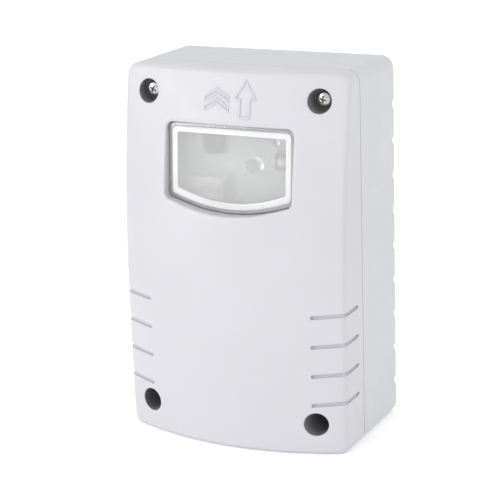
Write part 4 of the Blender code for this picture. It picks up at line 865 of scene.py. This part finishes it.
def softened(node, edge):
    piece = frame["nodes"][node].copy()
    piece.data = piece.data.copy()
    for key in list(piece.keys()):
        del piece[key]
    piece.parent = None
    bpy.context.collection.objects.link(piece)
    edit_all(piece)
    bpy.ops.mesh.remove_doubles(threshold=0.000002)
    bpy.ops.mesh.select_all(action="SELECT")
    bpy.ops.mesh.dissolve_limited(angle_limit=math.radians(1.0))
    leave_edit()
    if edge:
        corner = math.radians(40)
        modify(piece, "BEVEL", width=edge * MM, segments=2, limit_method="ANGLE", angle_limit=corner)
    return piece


# %% [markdown]
# ## Board, cells and labels
# A circuit board is a white lacquer over copper, so its tracks show as a faint relief and tinned pads
# shine through it. A cell has a printed sleeve with a metallic band near its positive end; the band
# is a step in height along the cell, and it is turned over for the cells that stand head down.

# %% Board and sleeves
def board_finish():
    material, tree, shader = new_material("white_lacquered_board")
    place = add(tree, "ShaderNodeTexCoord")
    mapping = add(tree, "ShaderNodeMapping")
    mapping.inputs["Rotation"].default_value = (math.radians(90), 0.0, 0.0)
    tracks = add(tree, "ShaderNodeTexBrick", Scale=260.0)
    tracks.inputs["Color1"].default_value = (0.80, 0.82, 0.80, 1.0)
    tracks.inputs["Color2"].default_value = (0.76, 0.78, 0.76, 1.0)
    tracks.inputs["Mortar"].default_value = (0.68, 0.71, 0.69, 1.0)
    tracks.inputs["Mortar Size"].default_value = 0.03
    tree.links.new(place.outputs["Object"], mapping.inputs["Vector"])
    tree.links.new(mapping.outputs["Vector"], tracks.inputs["Vector"])
    tree.links.new(tracks.outputs["Color"], shader.inputs["Base Color"])
    bump = add(tree, "ShaderNodeBump", Strength=0.5, Distance=0.04 * MM)
    tree.links.new(tracks.outputs["Fac"], bump.inputs["Height"])
    tree.links.new(bump.outputs["Normal"], shader.inputs["Normal"])
    tree.links.new(spread(tree, noise(tree, 300.0), 0.25, 0.4), shader.inputs["Roughness"])
    return material


def sleeve_finish(name, band_low, band_high):
    """A dark sleeve with a bright band between two heights."""
    material, tree, shader = new_material(name)
    place = add(tree, "ShaderNodeTexCoord")
    split = add(tree, "ShaderNodeSeparateXYZ")
    tree.links.new(place.outputs["Object"], split.inputs["Vector"])
    steps = []
    for height, operation in ((band_low, "GREATER_THAN"), (band_high, "LESS_THAN")):
        step = add(tree, "ShaderNodeMath")
        step.operation = operation
        step.inputs[1].default_value = height * MM
        tree.links.new(split.outputs["Z"], step.inputs[0])
        steps.append(step)
    both = add(tree, "ShaderNodeMath")
    both.operation = "MULTIPLY"
    tree.links.new(steps[0].outputs[0], both.inputs[0])
    tree.links.new(steps[1].outputs[0], both.inputs[1])
    mix = add(tree, "ShaderNodeMix")
    mix.data_type = "RGBA"
    dark = two_tone(tree, noise(tree, 120.0), (0.030, 0.075, 0.045), (0.024, 0.060, 0.036))
    bright = two_tone(tree, noise(tree, 200.0), (0.60, 0.60, 0.56), (0.54, 0.54, 0.50))
    tree.links.new(both.outputs[0], mix.inputs["Factor"])
    tree.links.new(dark, mix.inputs["A"])
    tree.links.new(bright, mix.inputs["B"])
    tree.links.new(mix.outputs["Result"], shader.inputs["Base Color"])
    tree.links.new(both.outputs[0], shader.inputs["Metallic"])
    tree.links.new(spread(tree, noise(tree, 300.0), 0.2, 0.3), shader.inputs["Roughness"])
    return material


FINISH["board_white"] = board_finish()
sleeves = {}
for index in range(1, 5):
    low, high = (corner.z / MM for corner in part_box(f"battery_{index}"))
    upright = index % 2 == 1
    key = "upright" if upright else "inverted"
    if key not in sleeves:
        ends = (high - 14.0, high - 0.9) if upright else (low + 0.9, low + 14.0)
        sleeves[key] = sleeve_finish(f"cell_sleeve_{key}", *ends)
        sleeves[key + "_end"] = metal(f"cell_end_{key}", (0.66, 0.66, 0.64), 0.25)

# %% Hand over every inner piece
DONE = {"front_cover", "rear_housing", "window_pane"}
DONE |= {node for node in frame["nodes"] if "cover_screw" in node}
for node in sorted(set(frame["nodes"]) - DONE):
    slot_name = SLOT_OF[node]
    piece = softened(node, EDGE[slot_name])
    if slot_name == "cell_sleeve":
        index = int(node[-1])
        key = "upright" if index % 2 else "inverted"
        low, high = (corner.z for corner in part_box(node))
        hand_over(piece, node, sleeves[key], sleeves[key + "_end"], angle=40.0)
        for face in piece.data.polygons:
            near_end = min(face.center.z - low, high - face.center.z)
            bare_face = near_end < 1.4 * MM and abs(face.normal.z) > 0.3
            face.material_index = 1 if bare_face or near_end < 1.1 * MM else 0
    else:
        hand_over(piece, node, angle=38.0)
print(len(frame["nodes"]) - len(DONE), "inner pieces")

# %% [markdown]
# ## The studio
# A pale sweep that glows a little under the case, one broad soft light from the left a little above
# it, a weak one from high on the right to keep the side open, and a white surround. The plastic is
# pale too, so its shape shows only in small differences of tone, and the key is kept broad.

# %% Floor, lights and surround
WHITE_SWEEP = (0.95, 0.95, 0.95)
bpy.ops.object.select_all(action="DESELECT")
bpy.ops.mesh.primitive_plane_add(size=6.0, location=(0.0, 0.0, FOOT * MM - 0.0002))
floor = bpy.context.object
floor.name = "studio_floor"
floor_material, floor_tree, floor_shader = new_material("pale_sweep")
floor_tree.links.new(two_tone(floor_tree, noise(floor_tree, 2.0), WHITE_SWEEP, (0.94, 0.94, 0.94)),
                     floor_shader.inputs["Base Color"])
floor_shader.inputs["Roughness"].default_value = 0.9
floor_shader.inputs["Emission Color"].default_value = (1.0, 1.0, 1.0, 1.0)
floor_shader.inputs["Emission Strength"].default_value = 0.15
floor.data.materials.append(floor_material)
floor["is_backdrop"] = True


def soft_light(name, place, size, power):
    data = bpy.data.lights.new(name, "AREA")
    data.shape = "DISK"
    data.size = size
    data.energy = power
    lamp = bpy.data.objects.new(name, data)
    bpy.context.collection.objects.link(lamp)
    lamp.location = place
    lamp.rotation_euler = (-Vector(place)).to_track_quat("-Z", "Y").to_euler()


soft_light("key", (-0.75, -1.0, 0.30), 0.5, 4.6)
soft_light("side", (0.9, -0.20, 0.90), 0.4, 1.5)
world = bpy.data.worlds.new("surround")
world.use_nodes = True
world.node_tree.nodes["Background"].inputs["Color"].default_value = (1.0, 1.0, 1.0, 1.0)
world.node_tree.nodes["Background"].inputs["Strength"].default_value = 1.0
bpy.context.scene.world = world
bpy.context.scene.view_settings.view_transform = "Standard"

# %% [markdown]
# ## The camera
# A long lens, a little to the right of the case and above it, as a catalogue picture is taken. The
# place comes from an angle round the case, an angle above the level and a distance.

# %% Camera
AZIMUTH, ELEVATION, ROLL = math.radians(26.99), math.radians(16.22), math.radians(-1.895)
DISTANCE, ACROSS, UPWARD, LENS = 603.0, -14.26, -8.1, 118.99
reach = math.cos(ELEVATION)
back = Vector((math.sin(AZIMUTH) * reach, -math.cos(AZIMUTH) * reach, math.sin(ELEVATION)))
right = Vector((math.cos(AZIMUTH), math.sin(AZIMUTH), 0.0))
up = back.cross(right)
level = Matrix((right, up, back)).transposed()
turned_view = level @ Matrix.Rotation(ROLL, 3, "Z")
camera_data = bpy.data.cameras.new("camera")
camera_data.lens = LENS
camera_data.sensor_width = 36.0
camera = bpy.data.objects.new("camera", camera_data)
bpy.context.collection.objects.link(camera)
place = (back * DISTANCE + right * ACROSS + up * UPWARD) * MM
camera.matrix_world = Matrix.Translation(place) @ turned_view.to_4x4()
bpy.context.scene.camera = camera

# %% The bounds of the shown pieces
low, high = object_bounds()
